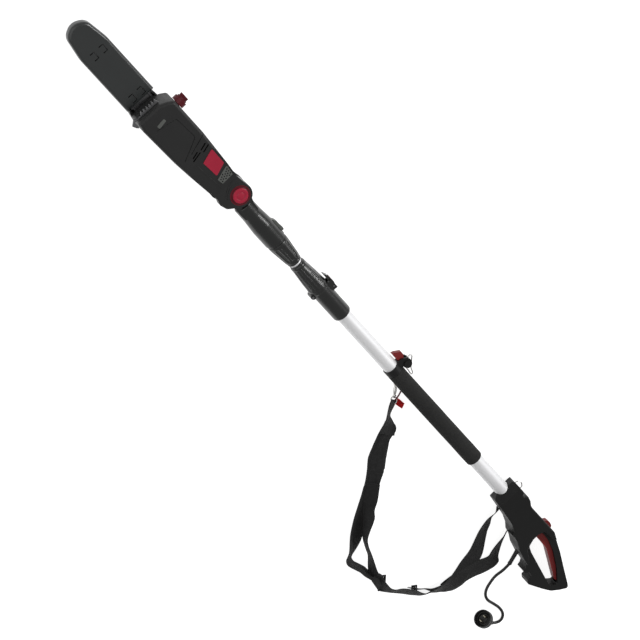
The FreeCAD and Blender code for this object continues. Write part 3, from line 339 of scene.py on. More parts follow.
def webbing_finish(name, base, light, pitch=0.0016):
    """Woven polyester tape: ribs across and along, from the tape's own UV in metres."""
    made = Finish(name, base, [c * 1.3 for c in base], 0.78, specular=0.12)
    uv = node(made.tree, "UVMap", uv_map="weave").outputs["UV"]
    split = node(made.tree, "SeparateXYZ", {0: uv}).outputs
    along = made.math("MULTIPLY", split["Y"], 2 * math.pi / pitch)
    across = made.math("MULTIPLY", split["X"], 2 * math.pi / (pitch * 1.35))
    warp = made.math("ABSOLUTE", made.math("SINE", across))
    weft = made.math("SINE", made.math("ADD", along, made.math("MULTIPLY", across, 0.5)))
    yarns = made.math("MULTIPLY", warp, made.math("MULTIPLY_ADD", weft, 0.35, 0.65))
    edge = made.ramp(made.math("ABSOLUTE", split["X"]), 0.0158, 0.0172)
    made.tint(made.math("MULTIPLY", yarns, 0.6), light)
    made.tint(made.math("MULTIPLY", edge, 0.35), [c * 1.5 for c in light])
    fuzz = made.ramp(made.noise(240, 5), 0.5, 0.8)
    made.tint(made.math("MULTIPLY", fuzz, 0.35), [c * 1.6 for c in light])
    made.bump(yarns, 0.0004)
    made.shader.inputs["Sheen Weight"].default_value = 0.06
    made.shader.inputs["Sheen Roughness"].default_value = 0.5
    return made.done()


def rubber_finish(name, base, roughness):
    made = Finish(name, base, [c * 1.5 for c in base], roughness, specular=0.30)
    bloom = made.ramp(made.noise(45, 5, distortion=0.8), 0.5, 0.8)
    made.tint(made.math("MULTIPLY", bloom, 0.2), [c * 2.2 + 0.01 for c in base])
    made.grain(900, 0.00008)
    return made.done()


# Each moulded finish lightens its edges in its edge colour, as rubbed wear and as a painted
# highlight.
FINISH = {
    "head_plastic": moulded("head_plastic", (0.013, 0.013, 0.013), 0.46, edge_wear_and_highlight=0.55,
                            specular=0.24),
    "neck_plastic": moulded("neck_plastic", (0.0075, 0.008, 0.0075), 0.25, edge_wear_and_highlight=0.5,
                            specular=0.50),
    "handle_plastic": moulded("handle_plastic", (0.0045, 0.0045, 0.0045), 0.50,
                              (0.05, 0.05, 0.05), edge_wear_and_highlight=0.4, specular=0.22),
    "scabbard_plastic": moulded("scabbard_plastic", (0.018, 0.0195, 0.0195), 0.30, edge_wear_and_highlight=0.4,
                                specular=0.45),
    "red_plastic": moulded("red_plastic", (0.26, 0.010, 0.028), 0.33, (0.50, 0.08, 0.11)),
    # dark_red_plastic also serves as painted shade on the tilt knob's skirt.
    "dark_red_plastic": moulded("dark_red_plastic", (0.065, 0.002, 0.006), 0.36,
                                (0.24, 0.03, 0.045)),
    "trigger_red": moulded("trigger_red", (0.135, 0.011, 0.011), 0.42, (0.30, 0.05, 0.045)),
    "tube_aluminium": tube_finish(),
    # The steel's dark base is partly painted shade: on the spikes it stands in for the shaded gap at
    # the head's front.
    "steel": brushed("steel", (0.22, 0.22, 0.225), 0.42, (40, 700, 700)),
    "wire_steel": brushed("wire_steel", (0.70, 0.69, 0.67), 0.26, (300, 300, 300)),
    "foam": foam_finish(),
    "webbing": webbing_finish("webbing", (0.009, 0.009, 0.009), (0.019, 0.019, 0.019)),
    "cord_rubber": rubber_finish("cord_rubber", (0.0085, 0.0085, 0.0085), 0.42),
    "blade_brass": brushed("blade_brass", (0.80, 0.74, 0.58), 0.28, (900, 900, 60)),
    "tank_plastic": moulded("tank_plastic", (0.20, 0.20, 0.185), 0.40, (0.34, 0.34, 0.32)),
    "grey_plastic": moulded("grey_plastic", (0.07, 0.073, 0.068), 0.40, (0.18, 0.18, 0.17)),
    "bronze": brushed("bronze", (0.50, 0.36, 0.20), 0.45, (500, 500, 60)),
    "tab_red": webbing_finish("tab_red", (0.50, 0.006, 0.008), (0.62, 0.02, 0.02), 0.0012),
}


def paint_frame():
    """Every CAD node takes the finish of its material slot."""
    for part in frame["record"]["subparts"]:
        mesh = frame["nodes"][part["node"]].data
        mesh.materials.clear()
        mesh.materials.append(FINISH[part["material_slot"]])


paint_frame()


# ------------------------------------------------------------------------------ power cord

CORD_RADIUS = 3.25 * MM
CORD_ROUTE = [
    (1140.5, -97.0, 10.0), (1144.5, -108.0, 6.0), (1146.0, -121.0, 3.6), (1143.5, -137.0, 3.4),
    (1147.0, -154.0, 3.4), (1153.0, -171.0, 3.4), (1163.0, -182.0, 3.4), (1177.0, -186.0, 3.4),
    (1194.0, -181.5, 3.4), (1214.0, -177.5, 3.4), (1232.0, -180.5, 3.4), (1241.0, -191.0, 3.4),
    (1239.0, -204.0, 4.2), (1228.5, -212.0, 6.5),
]
GLAND_START = mm(1110.0, -52.0, POLE_Z)
PLUG_FACE = mm(1186.0, -220.5, 28.0)
PLUG_ELEVATION = math.radians(30.0)
PLUG_TURN = math.radians(8.0)


def make_strain_relief():
    """Ribbed tapered sleeve with an end collar."""
    run = (mm(*CORD_ROUTE[0]) - GLAND_START) / MM
    length = run.length
    profile = [(0.0, 3.4), (0.0, 5.1)]
    ribs = 7
    first = length * 0.42
    pitch = (length - first - 3.0) / ribs
    for i in range(ribs):
        x = first + pitch * i
        r = 5.1 - 0.7 * x / length
        profile += [(x, r), (x + pitch * 0.30, r - 0.05), (x + pitch * 0.42, r - 0.8),
                    (x + pitch * 0.88, r - 0.8)]
    profile += [(length - 3.0, 4.9), (length - 0.6, 4.8), (length, 4.4), (length, 3.4)]
    return lathe("strain_relief_sleeve", profile, GLAND_START, run, 48)


def make_plug():
    """Round shroud with a lip, a grip band and a ribbed tail."""
    face = Vector((-math.cos(PLUG_ELEVATION) * math.cos(PLUG_TURN),
                   -math.cos(PLUG_ELEVATION) * math.sin(PLUG_TURN), math.sin(PLUG_ELEVATION)))
    inward = -face

    def grip(distance, radius, angle):
        """Shallow flutes round the grip band."""
        if 15.0 < distance < 25.0 and radius > 9.0:
            return radius - 0.45 * max(0.0, math.cos(18 * angle)) ** 2
        return radius

    shroud = lathe("plug_shroud", [
        (11.0, 0.01), (11.0, 9.0), (10.2, 9.4), (10.2, 13.8), (11.0, 14.2), (11.0, 17.0),
        (10.4, 17.4), (1.0, 17.4), (0.2, 17.8), (0.0, 18.4), (0.0, 19.2), (0.5, 19.9),
        (1.4, 20.0), (4.2, 20.0), (4.6, 19.5), (5.2, 19.5), (5.6, 20.0), (12.6, 20.0),
        (14.2, 19.5), (16.0, 18.2), (20.0, 15.0), (25.0, 11.2), (28.0, 9.0), (28.0, 0.01),
    ], PLUG_FACE, inward, 96, grip)
    tail_start = PLUG_FACE + inward * 26.0 * MM
    run = (mm(*CORD_ROUTE[-1]) - tail_start) / MM
    length = run.length
    profile = [(0.0, 0.01), (0.0, 8.5)]
    ribs = 5
    pitch = (length - 6.0) / ribs
    for i in range(ribs):
        x = 3.0 + pitch * i
        r = 8.4 - 4.0 * x / length
        profile += [(x, r), (x + pitch * 0.45, r - 0.2), (x + pitch * 0.55, r - 1.2),
                    (x + pitch * 0.92, r - 1.2)]
    profile += [(length - 1.6, 4.5), (length, 4.2), (length, 0.01)]
    tail = lathe("plug_tail", profile, tail_start, run, 48)
    return shroud, tail


def make_cord():
    """The short lead with its strain relief at the handle and its plug."""
    cord = wire("power_cord_line", CORD_ROUTE, CORD_RADIUS / MM)
    cord.data.resolution_u = 12
    finish_piece(cord, "pole", FINISH["cord_rubber"], "cord_rubber", "power_cord")
    relief = finish_piece(make_strain_relief(), "pole", FINISH["cord_rubber"], "cord_rubber",
                          "strain_relief")
    shroud, tail = make_plug()
    for piece in (shroud, tail):
        finish_piece(piece, "pole", FINISH["cord_rubber"], "cord_rubber", "plug_body")


make_cord()


# ------------------------------------------------------------------------------ carrying strap

WEB_WIDTH = 38.0
WEB_THICKNESS = 1.5
LEAN = math.tan(CAMERA_LEAN)
LIFT_PASSES = 2


def rise(left, right, side, width):
    """Height of the raised edge that gives a tape its full width.

    The edges are where they would be on the floor, seen along the leaning line of sight. The
    raised one goes up that line, so a tape that stands on its edge keeps its outline.
    """
    dx, dy = (right[0] - left[0]) * side, right[1] - left[1]
    short = width ** 2 - dx ** 2 - dy ** 2
    if short <= 0:
        return 0.0
    a = 1 + LEAN ** 2
    return (LEAN * dx + math.sqrt((LEAN * dx) ** 2 + a * short)) / a


def tape_rows(rows, base, side, width):
    """Left and right edges of a tape in mm, with one edge raised where the tape is narrow.

    The lifts are evened out along the tape, so that its edge rises and falls without spikes.
    """
    lifts = [rise((lx, ly), (rx, ry), side, width) for lx, ly, rx, ry in rows]
    for _ in range(LIFT_PASSES):
        padded = lifts[:1] + lifts + lifts[-1:]
        lifts = [(a + 2 * b + c) / 4 for a, b, c in zip(padded, padded[1:], padded[2:])]
    made = []
    for (lx, ly, rx, ry), lift in zip(rows, lifts):
        low = [lx, ly, base]
        high = [rx, ry, base]
        raised = high if side > 0 else low
        raised[0] -= LEAN * lift
        raised[2] += lift
        made.append(low + high)
    return made


def tape(name, rows, base=1.2, side=1, columns=10, step=3.0, thickness=WEB_THICKNESS,
         sag=0.6, material="webbing", body="pole", width=WEB_WIDTH):
    """Woven tape through rows of (left x, left y, right x, right y), in mm."""
    path = smooth_path(tape_rows(rows, base, side, width), step)
    bm = bmesh.new()
    layer = bm.loops.layers.uv.new("weave")
    grid, across, along = [], [], []
    run = 0.0
    for i, row in enumerate(path):
        left, right = Vector(row[:3]), Vector(row[3:])
        if i:
            before = path[i - 1]
            run += (Vector(row[:3] + row[3:]) / 2 - Vector(before[:3] + before[3:]) / 2).length
        span = (right - left).length
        line, marks = [], []
        for k in range(columns + 1):
            t = k / columns
            place = left.lerp(right, t)
            ripple = noise.noise(place * 0.035 + Vector((0, 0, len(name))))
            place.z = max(0.85, place.z + sag * ripple + 0.9 * math.sin(math.pi * t) * ripple)
            line.append(bm.verts.new(place * MM))
            marks.append((t - 0.5) * span * MM)
        grid.append(line)
        across.append(marks)
        along.append(run * MM)
    for i in range(len(grid) - 1):
        for k in range(columns):
            corners = ((i, k), (i, k + 1), (i + 1, k + 1), (i + 1, k))
            face = bm.faces.new([grid[a][b] for a, b in corners])
            for loop, (a, b) in zip(face.loops, corners):
                loop[layer].uv = (across[a][b], along[a])
    obj = mesh_object(name, bm)
    skin = obj.modifiers.new("thickness", "SOLIDIFY")
    skin.thickness = thickness * MM
    skin.offset = 0
    skin.use_even_offset = True
    print("tape %-18s %.3f m long" % (name, run * MM))
    finish_piece(obj, body, FINISH[material], material)
    return obj, run * MM


FRONT_TAPE = [
    (630, -44, 641, -38), (637, -56, 647, -50), (645, -66, 653, -63), (652, -74, 659, -70),
    (660, -84, 672, -73), (667, -97, 688, -78), (674, -110, 702, -92),
]
OUTER_TAPE = [
    (744, -212, 772, -190), (759, -232, 789, -211), (774, -254, 806, -237), (787, -273, 819, -262),
    (798, -287, 828, -278), (810, -301, 838, -292), (823, -313, 844, -305), (835, -323, 848, -317),
    (843, -331, 851, -327), (847, -338, 855, -334), (852, -346, 862, -336), (864, -350, 868, -336),
    (884, -345, 881, -332), (898, -341, 896, -328), (911, -340, 908, -327), (930, -336, 924, -321),
    (946, -334, 938, -314), (962, -341, 952, -315),
]
INNER_TAPE = [
    (738, -202, 767, -184), (759, -231, 792, -210), (774, -240, 805, -229), (788, -249, 818, -239),
    (806, -263, 826, -250), (821, -275, 834, -264), (838, -288, 846, -281), (855, -296, 860, -290),
    (868, -301, 874, -295), (880, -306, 886, -299), (905, -325, 920, -312), (926, -334, 936, -316),
]
BOTTOM_TAPE = [
    (936, -338, 930, -318), (952, -340, 942, -314), (966, -341, 956, -317), (976, -336, 968, -318),
    (988, -328, 981, -318), (999, -320, 992, -313), (1010, -312, 1001, -302),
    (1022, -304, 1012, -293), (1031, -298, 1022, -287), (1040, -291, 1031, -281),
    (1048, -285, 1041, -278), (1056, -275, 1052, -272), (1062, -264, 1056, -262),
    (1072, -254, 1062, -248), (1082, -242, 1066, -234),
]
REAR_LEFT_TAPE = [
    (1009, -292, 1015, -284), (1026, -284, 1020, -279), (1034, -277, 1029, -275),
    (1043, -268, 1041, -264), (1056, -262, 1051, -256), (1069, -252, 1059, -244),
    (1086, -238, 1065, -229), (1097, -214, 1065, -212), (1099, -196, 1062, -197),
    (1094, -172, 1055, -174), (1086, -145, 1049, -146), (1078, -127, 1043, -131),
    (1066, -112, 1035, -116), (1053, -98, 1028, -102), (1041, -84, 1022, -86),
    (1033, -70, 1018, -71), (1024, -59, 1017, -61), (1022, -51, 1018, -53),
    (1022, -42, 1018, -44), (1021, -34, 1008, -33),
]
REAR_RIGHT_TAPE = [
    (1082, -242, 1062, -236), (1096, -227, 1063, -222), (1102, -208, 1066, -203),
    (1103, -190, 1070, -184), (1109, -170, 1075, -166), (1117, -152, 1081, -148),
    (1122, -138, 1086, -136), (1125, -122, 1091, -126), (1122, -110, 1093, -118),
    (1112, -104, 1090, -111), (1103, -94, 1086, -100), (1094, -82, 1083, -87),
    (1087, -70, 1081, -75), (1082, -60, 1079, -64), (1078, -52, 1075, -55),
]
PAD_ROWS = [
    (660, -85, 669, -74), (664, -93, 686, -75), (668, -104, 696, -83), (672, -115, 699, -95),
    (678, -127, 703, -106), (688, -146, 715, -120), (698, -163, 726, -133), (708, -173, 738, -145),
    (720, -184, 749, -157), (738, -203, 767, -184), (759, -231, 790, -209), (768, -243, 799, -222),
]
SEAM_ROW = 8


def stitch_line(name, points, length, gap, material="cord_rubber", body="pole"):
    """Thread showing as short raised dashes along a line of points in mm."""
    data = bpy.data.curves.new(name, "CURVE")
    data.dimensions = "3D"
    data.bevel_depth = 0.32 * MM
    data.bevel_resolution = 2
    data.use_fill_caps = True
    for i in range(0, len(points) - length, length + gap):
        dash = data.splines.new("POLY")
        dash.points.add(2)
        middle = i + length // 2
        for point, (at, lift) in zip(dash.points, ((i, 0.0), (middle, 0.3), (i + length, 0.0))):
            place = Vector(points[at]) + Vector((0, 0, lift))
            point.co = (*(place * MM), 1)
    return finish_piece(link(bpy.data.objects.new(name, data)), body, FINISH[material], material)


def make_pad():
    """Padded shoulder piece: crowned and stitched along its edges, with a dip across at the seam."""
    side_height, crown_height, stitch_inset = 2.0, 3.2, 4.2
    rows = [[lx, ly, 0.5, rx, ry, 0.5] for lx, ly, rx, ry in PAD_ROWS]
    path = smooth_path(rows, 1.5)
    seam = np.array(rows[SEAM_ROW])
    seam_at = int(np.argmin(np.linalg.norm(path - seam, axis=1)))
    columns = 40
    bm = bmesh.new()
    layer = bm.loops.layers.uv.new("weave")
    tops, lows, marks = [], [], []
    run = 0.0
    for i, row in enumerate(path):
        left, right = Vector(row[:3]), Vector(row[3:])
        if i:
            run += np.linalg.norm(row - path[i - 1]) / math.sqrt(2)
        end = min(i, len(path) - 1 - i) / 5.0
        close = 1 - math.exp(-end)
        seam_dip = 2.7 * math.exp(-((i - seam_at) / 1.1) ** 2)
        second_dip = 0.5 * math.exp(-((i - seam_at - 5) / 1.0) ** 2)
        top, low, mark = [], [], []
        for k in range(columns + 1):
            t = k / columns
            edge = min(t, 1 - t) * (right - left).length
            crown = 1 - math.exp(-edge / 2.2)
            stitch_dip = 0.7 * math.exp(-((edge - stitch_inset) / 0.7) ** 2)
            place = left.lerp(right, t)
            fold = noise.noise(place * 0.045) + 0.5 * noise.noise(place * 0.11)
            height = side_height + crown_height * crown * close
            height -= stitch_dip + seam_dip + second_dip
            lift = 1.6 * max(0.0, fold) * close
            top.append(bm.verts.new((place + Vector((0, 0, height + lift))) * MM))
            low.append(bm.verts.new((place + Vector((0, 0, 0.1 + 0.6 * lift))) * MM))
            mark.append(((t - 0.5) * WEB_WIDTH * MM, run * MM))
        tops.append(top)
        lows.append(low)
        marks.append(mark)

    inset = stitch_inset / WEB_WIDTH
    for name, share in (("pad_stitches_left", inset), ("pad_stitches_right", 1 - inset)):
        k = round(share * columns)
        stitch_line(name, [row[k].co / MM for row in tops[4:-4]], 3, 1)

    def skin(quads, corners):
        face = bm.faces.new(quads)
        for loop, (a, b) in zip(face.loops, corners):
            loop[layer].uv = marks[a][b]

    for i in range(len(tops) - 1):
        for k in range(columns):
            corners = ((i, k), (i, k + 1), (i + 1, k + 1), (i + 1, k))
            skin([tops[a][b] for a, b in corners], corners)
            skin([lows[a][b] for a, b in corners][::-1], corners[::-1])
        for k in (0, columns):
            skin((tops[i][k], tops[i + 1][k], lows[i + 1][k], lows[i][k]),
                 ((i, k), (i + 1, k), (i + 1, k), (i, k)))
    for i in (0, len(tops) - 1):
        for k in range(columns):
            skin((tops[i][k], tops[i][k + 1], lows[i][k + 1], lows[i][k]),
                 ((i, k), (i, k + 1), (i, k + 1), (i, k)))
    pad = mesh_object("shoulder_pad_padded", bm)
    finish_piece(pad, "pole", FINISH["webbing"], "webbing", "shoulder_pad")


def make_tapes():
    """The tape's lengths, laid out between the hook, the pad, the sliders and the handle."""
    lengths = [
        ("tape_front", FRONT_TAPE, 1.4, -1), ("tape_outer", OUTER_TAPE, 1.2, -1),
        ("tape_inner", INNER_TAPE, 2.6, 1), ("tape_bottom", BOTTOM_TAPE, 1.4, 1),
        ("tape_rear_left", REAR_LEFT_TAPE, 3.4, 1), ("tape_rear_right", REAR_RIGHT_TAPE, 1.2, 1),
    ]
    for name, rows, base, side in lengths:
        piece, length = tape(name, rows, base, side)
        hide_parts("strap_webbing")


def round_corners(points, radius, steps=5):
    """A closed outline in mm with every corner rounded."""
    made = []
    for i, corner in enumerate(points):
        here = Vector(corner)
        back = (Vector(points[i - 1]) - here).normalized()
        ahead = (Vector(points[(i + 1) % len(points)]) - here).normalized()
        for k in range(steps + 1):
            t = k / steps
            made.append(here + radius * ((1 - t) ** 2 * back + t ** 2 * ahead))
    return made


def plate(name, outlines, thickness, bevel, corner):
    """A flat moulded plate with rounded rims, centred on its own origin. Outlines in mm."""
    data = bpy.data.curves.new(name, "CURVE")
    data.dimensions = "2D"
    data.fill_mode = "BOTH"
    data.extrude = (thickness / 2 - bevel) * MM
    data.bevel_depth = bevel * MM
    data.bevel_resolution = 3
    data.offset = -bevel * MM
    for outline in outlines:
        spline = data.splines.new("POLY")
        places = round_corners(outline, corner)
        spline.points.add(len(places) - 1)
        for point, place in zip(spline.points, places):
            point.co = (place.x * MM, place.y * MM, 0, 1)
        spline.use_cyclic_u = True
    return link(bpy.data.objects.new(name, data))


def rectangle(half_x, half_y, x=0.0, y=0.0):
    return [(x - half_x, y - half_y), (x + half_x, y - half_y),
            (x + half_x, y + half_y), (x - half_x, y + half_y)]


def make_sliders():
    """Two moulded ladder sliders, each a frame with a cross bar, lying on the webbing."""
    # Name, place in mm, turn in degrees, half the length and half the width in mm.
    places = [("strap_slider", (954.6, -325, 5.0), -41, 18.5, 8.5),
              ("strap_adjuster", (1023, -284, 5.0), -40, 9.0, 6.5)]
    for name, place, turn, half_x, half_y in places:
        slots = [rectangle(half_x - 3.2, 0.7, 0, side * half_y * 0.42) for side in (-1, 1)]
        frame_plate = plate(name, [rectangle(half_x, half_y)] + slots, 3.0, 0.55, 0.6)
        reach = half_x - 2.5
        bar = wire(name + "_bar", [(-reach, 0, 1.1), (0, 0, 1.5), (reach, 0, 1.1)], 1.8)
        for piece in (frame_plate, bar):
            piece.matrix_world = (Matrix.Translation(mm(*place))
                                  @ Matrix.Rotation(math.radians(turn), 4, "Z"))
            finish_piece(piece, "pole", FINISH["handle_plastic"], "handle_plastic",
                         "strap_sliders")


def make_snap_hook():
    """Cast snap hook through the bracket's eye: loop, body, swivel, strap bar and red gate."""
    loop = wire("snap_hook_loop", [
        (613, -22.5, 6.5), (606, -18.5, 9.5), (598, -12.5, 10.4), (593.3, -9.6, 10.2),
        (592.2, -8.8, 6.5), (593.3, -9.6, 2.6), (598, -12.5, 1.9), (606, -18.5, 2.4),
        (613, -22.5, 4.5)], 1.5)
    axis = Vector((20, -19, 0.3))
    shank = lathe("snap_hook_body", [
        (0.0, 0.01), (0.0, 2.6), (1.5, 3.6), (4.0, 4.1), (10.0, 4.3), (15.0, 3.7), (18.0, 2.6),
        (19.0, 2.6), (19.6, 4.0), (22.4, 4.0), (23.0, 2.4), (26.0, 2.4), (26.0, 0.01)],
        mm(610.5, -20.0, 5.8), axis, 32,
        lambda distance, radius, angle: radius * (1 - 0.16 * abs(math.sin(angle))))
    swivel = wire("snap_hook_eye", [
        (628, -36.5, 6.2), (634, -33.5, 6.4), (643, -42.5, 6.2), (638, -48, 5.6),
        (626, -46, 5.6), (624, -39, 6.0)], 1.35, closed=True)
    gate = wire("snap_hook_gate", [
        (627.5, -18.5, 8.0), (630.5, -26.0, 8.8), (632.5, -34.0, 8.8), (634.0, -41.0, 8.2)], 1.7)
    spring = wire("snap_hook_spring", [
        (614 + 9 * t + 1.5 * math.cos(t * 44), -21 - 12 * t, 9.6 + 0.8 * math.sin(t * 44))
        for t in (k / 60 for k in range(61))], 0.35)
    for piece in (loop, shank, swivel, spring):
        finish_piece(piece, "pole", FINISH["wire_steel"], "wire_steel", "snap_hook")
    finish_piece(gate, "pole", FINISH["dark_red_plastic"], "dark_red_plastic", "snap_hook")


def make_release_tab():
    """Folded red tab with its box of stitching."""
    tab, _ = tape("release_tab_ribbon", [
        (641.5, -45.5, 636.5, -33.0), (648, -44.5, 644.5, -31.5), (655, -43.0, 651.5, -31.0),
        (662, -41.5, 656.5, -30.0)], base=6.2, step=1.0, thickness=1.8, sag=0.3,
        material="tab_red", width=12.5)
    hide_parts("release_tab")
    box_line = []
    corners = [(642.5, -42.5), (658, -40), (654.5, -32.5), (640, -35.5), (642.5, -42.5),
               (654.5, -32.5), (658, -40), (640, -35.5)]
    for (ax, ay), (bx, by) in zip(corners, corners[1:]):
        steps = max(2, int(math.hypot(bx - ax, by - ay) / 0.6))
        box_line += [(ax + (bx - ax) * k / steps, ay + (by - ay) * k / steps, 7.35)
                     for k in range(steps)]
    stitch_line("release_tab_stitches", box_line, 3, 1, "dark_red_plastic")


make_pad()
make_tapes()
make_sliders()
make_snap_hook()
make_release_tab()


# ------------------------------------------------------------------------------ foam grip

def make_foam():
    """Soft sleeve with rolled ends and a slightly uneven skin, over its bore on the tube."""
    low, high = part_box("foam_grip")
    start = low.x / MM
    length = (high.x - low.x) / MM
    radius = (high.y - low.y) / 2 / MM
    bore = 16.05

    def uneven(distance, r, angle):
        if r < radius - 3:
            return r
        place = Vector((distance * 0.03, math.cos(angle) * 1.6, math.sin(angle) * 1.6))
        return r + 0.28 * (noise.noise(place) - 0.6)

    profile = [(0.0, bore), (0.0, radius - 2.2), (0.4, radius - 1.1), (1.3, radius - 0.3),
               (2.6, radius - 0.02)]
    steps = 60
    for i in range(1, steps):
        profile.append((2.6 + (length - 5.2) * i / steps, radius))
    profile += [(length - 2.6, radius - 0.02), (length - 1.3, radius - 0.3),
                (length - 0.4, radius - 1.1), (length, radius - 2.2), (length, bore), (0.0, bore)]
    foam = lathe("foam_sleeve", profile, mm(start, 0, POLE_Z), (1, 0, 0), 96, uneven)
    finish_piece(foam, "pole", FINISH["foam"], "foam", "foam_grip")


make_foam()


# ------------------------------------------------------------------------------ nut, cone and knob

# Where the two turned grips start, and their bore over the inner tube, in mm.
NUT_START = 150.6
CONE_START = 217.0
GRIP_BORE = 13.6

def stretch(profile, spacing):
    """The profile with extra rings, so that a shape function has something to move."""
    made = [profile[0]]
    for (a, ra), (b, rb) in zip(profile, profile[1:]):
        count = max(1, int(abs(b - a) / spacing))
        made += [(a + (b - a) * k / count, ra + (rb - ra) * k / count)
                 for k in range(1, count + 1)]
    return made


def panel_depth(angle, panels, edge):
    """0 between two panels and 1 inside one, with soft edges."""
    phase = (angle / (2 * math.pi) * panels) % 1.0
    return min(1.0, max(0.0, (0.5 - abs(phase - 0.5)) / edge - 0.9))


def make_nut():
    """Hand nut: long recessed panels between ribs, ridged for the fingers, and a plain rim."""
    first, last, run_out = 6.5, 50, 1.5

    def grip(distance, radius, angle):
        if not first < distance < last or radius < 15:
            return radius
        ends = min(1.0, (distance - first) / run_out, (last - distance) / run_out)
        inside = panel_depth(angle, 10, 0.16) * ends
        ridge = 0.28 * math.sin(distance * 2 * math.pi / 2.6)
        return radius - inside * (1.45 + ridge)

    profile = stretch([(0.0, 17.6), (0.0, 21.2), (0.7, 22.0), (5.4, 22.3), (54.4, 16.8),
                       (55.4, 16.2), (56.2, 15.4), (57.2, 15.4), (58.0, 16.0), (61.2, 15.6),
                       (62.2, 14.8), (62.2, GRIP_BORE), (26.0, GRIP_BORE), (26.0, 17.6),
                       (0.0, 17.6)], 0.65)
    nut = lathe("coupling_nut_grip", profile, mm(NUT_START, 0, POLE_Z), (1, 0, 0), 160, grip)
    finish_piece(nut, "coupling_nut", FINISH["neck_plastic"], "neck_plastic", "coupling_nut")


def make_cone():
    """Clamping cone: long flats, fine cross ribs towards the collar and a bead at its mouth."""
    first, last, run_out, first_rib = 9, 70, 2.0, 34

    def ribs(distance, radius, angle):
        if not first < distance < last or radius < 15:
            return radius
        ends = min(1.0, (distance - first) / run_out, (last - distance) / run_out)
        inside = panel_depth(angle + 0.3, 6, 0.12) * ends
        cross = 0.28 * math.sin(distance * 2 * math.pi / 3.4) if distance > first_rib else 0.0
        return radius - inside * (0.95 + cross)

    profile = stretch([(0.0, GRIP_BORE), (0.0, 14.4), (0.8, 15.2), (2.6, 15.4), (3.2, 14.9),
                       (4.2, 14.9), (5.0, 16.5), (45.0, 20.3), (74.0, 22.0), (74.0, GRIP_BORE),
                       (0.0, GRIP_BORE)], 0.8)
    cone = lathe("collar_cone_grip", profile, mm(CONE_START, 0, POLE_Z), (1, 0, 0), 144, ribs)
    finish_piece(cone, "pole", FINISH["neck_plastic"], "neck_plastic", "collar_cone")


def make_latch_ribs():
    """Thumb ribs across the neck's catch."""
    first, spacing, half_length = 114.5, 3.6, 5.4
    for i in range(4):
        x = first + spacing * i
        rib = wire("neck_latch_rib_%d" % i, [
            (x, 27.0, POLE_Z - half_length), (x, 27.35, POLE_Z),
            (x, 27.0, POLE_Z + half_length)], 0.7)
        finish_piece(rib, "neck_latch", FINISH["neck_plastic"], "neck_plastic")


def make_knob():
    """Tilt knob: a skirt that slides in the bezel, in the darker red as painted shade on the knob's
    side, and a domed cap with a ring on it.
    """
    low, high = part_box("tilt_knob")
    radius = (high.x - low.x) / 2 / MM
    height = (high.z - low.z) / MM
    cap = radius - 1.5
    shoulder = height - 2.6
    skirt = [(0.0, 0.01), (0.0, radius - 0.6), (0.6, radius), (shoulder - 0.6, radius),
             (shoulder, radius - 0.6), (shoulder, cap - 1.0), (shoulder - 1.0, 0.01)]
    top = [(shoulder - 0.9, 0.01), (shoulder - 0.9, cap - 0.4), (shoulder - 0.2, cap),
           (height - 1.2, cap), (height - 0.4, cap - 0.5), (height - 0.1, cap - 1.4),
           (height, cap - 2.6), (height, 9.4), (height - 0.25, 9.0), (height - 0.8, 8.8),
           (height - 0.8, 7.7), (height - 0.25, 7.5), (height, 7.1), (height, 0.01)]
    start = ((low.x + high.x) / 2, (low.y + high.y) / 2, low.z)
    # The skirt takes the darker red as painted shade on the knob's side; the cap takes the red.
    for name, profile, slot in (("tilt_knob_skirt", skirt, "dark_red_plastic"),
                                ("tilt_knob_cap", top, "red_plastic")):
        piece = lathe(name, profile, start, (0, 0, 1), 96)
        finish_piece(piece, "tilt_knob", FINISH[slot], slot, "tilt_knob")


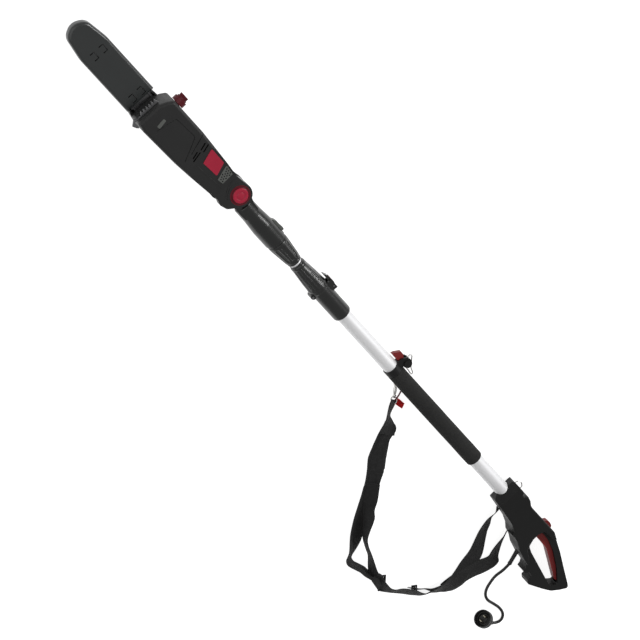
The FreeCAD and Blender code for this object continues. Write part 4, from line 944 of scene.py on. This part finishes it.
def make_spring():
    """Return spring under the tilt knob: a coil of wire, made into a mesh."""
    low, high = (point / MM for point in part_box("tilt_spring"))
    middle = (low + high) / 2
    gauge, turns, around = 0.55, 3.5, 24
    radius = (high.x - low.x) / 2 - gauge
    climb = high.z - low.z - 2 * gauge
    steps = int(turns * around)
    coil = wire("tilt_spring_coil", [
        (middle.x + radius * math.cos(k * 2 * math.pi / around),
         middle.y + radius * math.sin(k * 2 * math.pi / around),
         low.z + gauge + climb * k / steps) for k in range(steps + 1)], gauge)
    mesh = bpy.data.meshes.new_from_object(
        coil.evaluated_get(bpy.context.evaluated_depsgraph_get()))
    bpy.data.objects.remove(coil)
    spring = link(bpy.data.objects.new("tilt_spring_coil", mesh))
    finish_piece(spring, "saw_head", FINISH["steel"], "steel", "tilt_spring")
    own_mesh(spring)


make_nut()
make_cone()
make_latch_ribs()
make_knob()
make_spring()


# ------------------------------------------------------------------------------ stage and light

SKY_STRENGTH = 0.42
# The paper glows a little, so that soft shadows fade into it.
PAPER_GLOW = 0.86
FLOOR_SIZE = 12
FLOOR_DROP = 0.5 * MM
# Name, direction towards the lamp, strength, apparent size in degrees.
LAMPS = [
    ("key", (0.25, 1.0, 0.85), 1.8, 15),
    ("fill", (-0.7, -0.5, 1.0), 0.9, 70),
]


def make_stage():
    """Plain pale floor, a bright even sky and broad soft lamps."""
    bm = bmesh.new()
    bmesh.ops.create_grid(bm, x_segments=4, y_segments=4, size=FLOOR_SIZE)
    floor = mesh_object("floor", bm, smooth=False)
    floor.location.z = -FLOOR_DROP
    paper = Finish("floor_paper", (0.44, 0.44, 0.44), (0.46, 0.46, 0.46), 0.9)
    paper.shader.inputs["Emission Color"].default_value = (1, 1, 1, 1)
    paper.shader.inputs["Emission Strength"].default_value = PAPER_GLOW
    floor.data.materials.append(paper.done())
    world = bpy.data.worlds.new("sky")
    world.use_nodes = True
    sky = world.node_tree.nodes["Background"]
    sky.inputs["Color"].default_value = (1, 1, 1, 1)
    sky.inputs["Strength"].default_value = SKY_STRENGTH
    bpy.context.scene.world = world
    for name, toward, strength, spread in LAMPS:
        data = bpy.data.lights.new(name, "SUN")
        data.energy = strength
        data.angle = math.radians(spread)
        lamp = link(bpy.data.objects.new(name, data))
        lamp.rotation_euler = Vector(toward).to_track_quat("Z", "Y").to_euler()
    bpy.context.scene.view_settings.view_transform = "Standard"


make_stage()
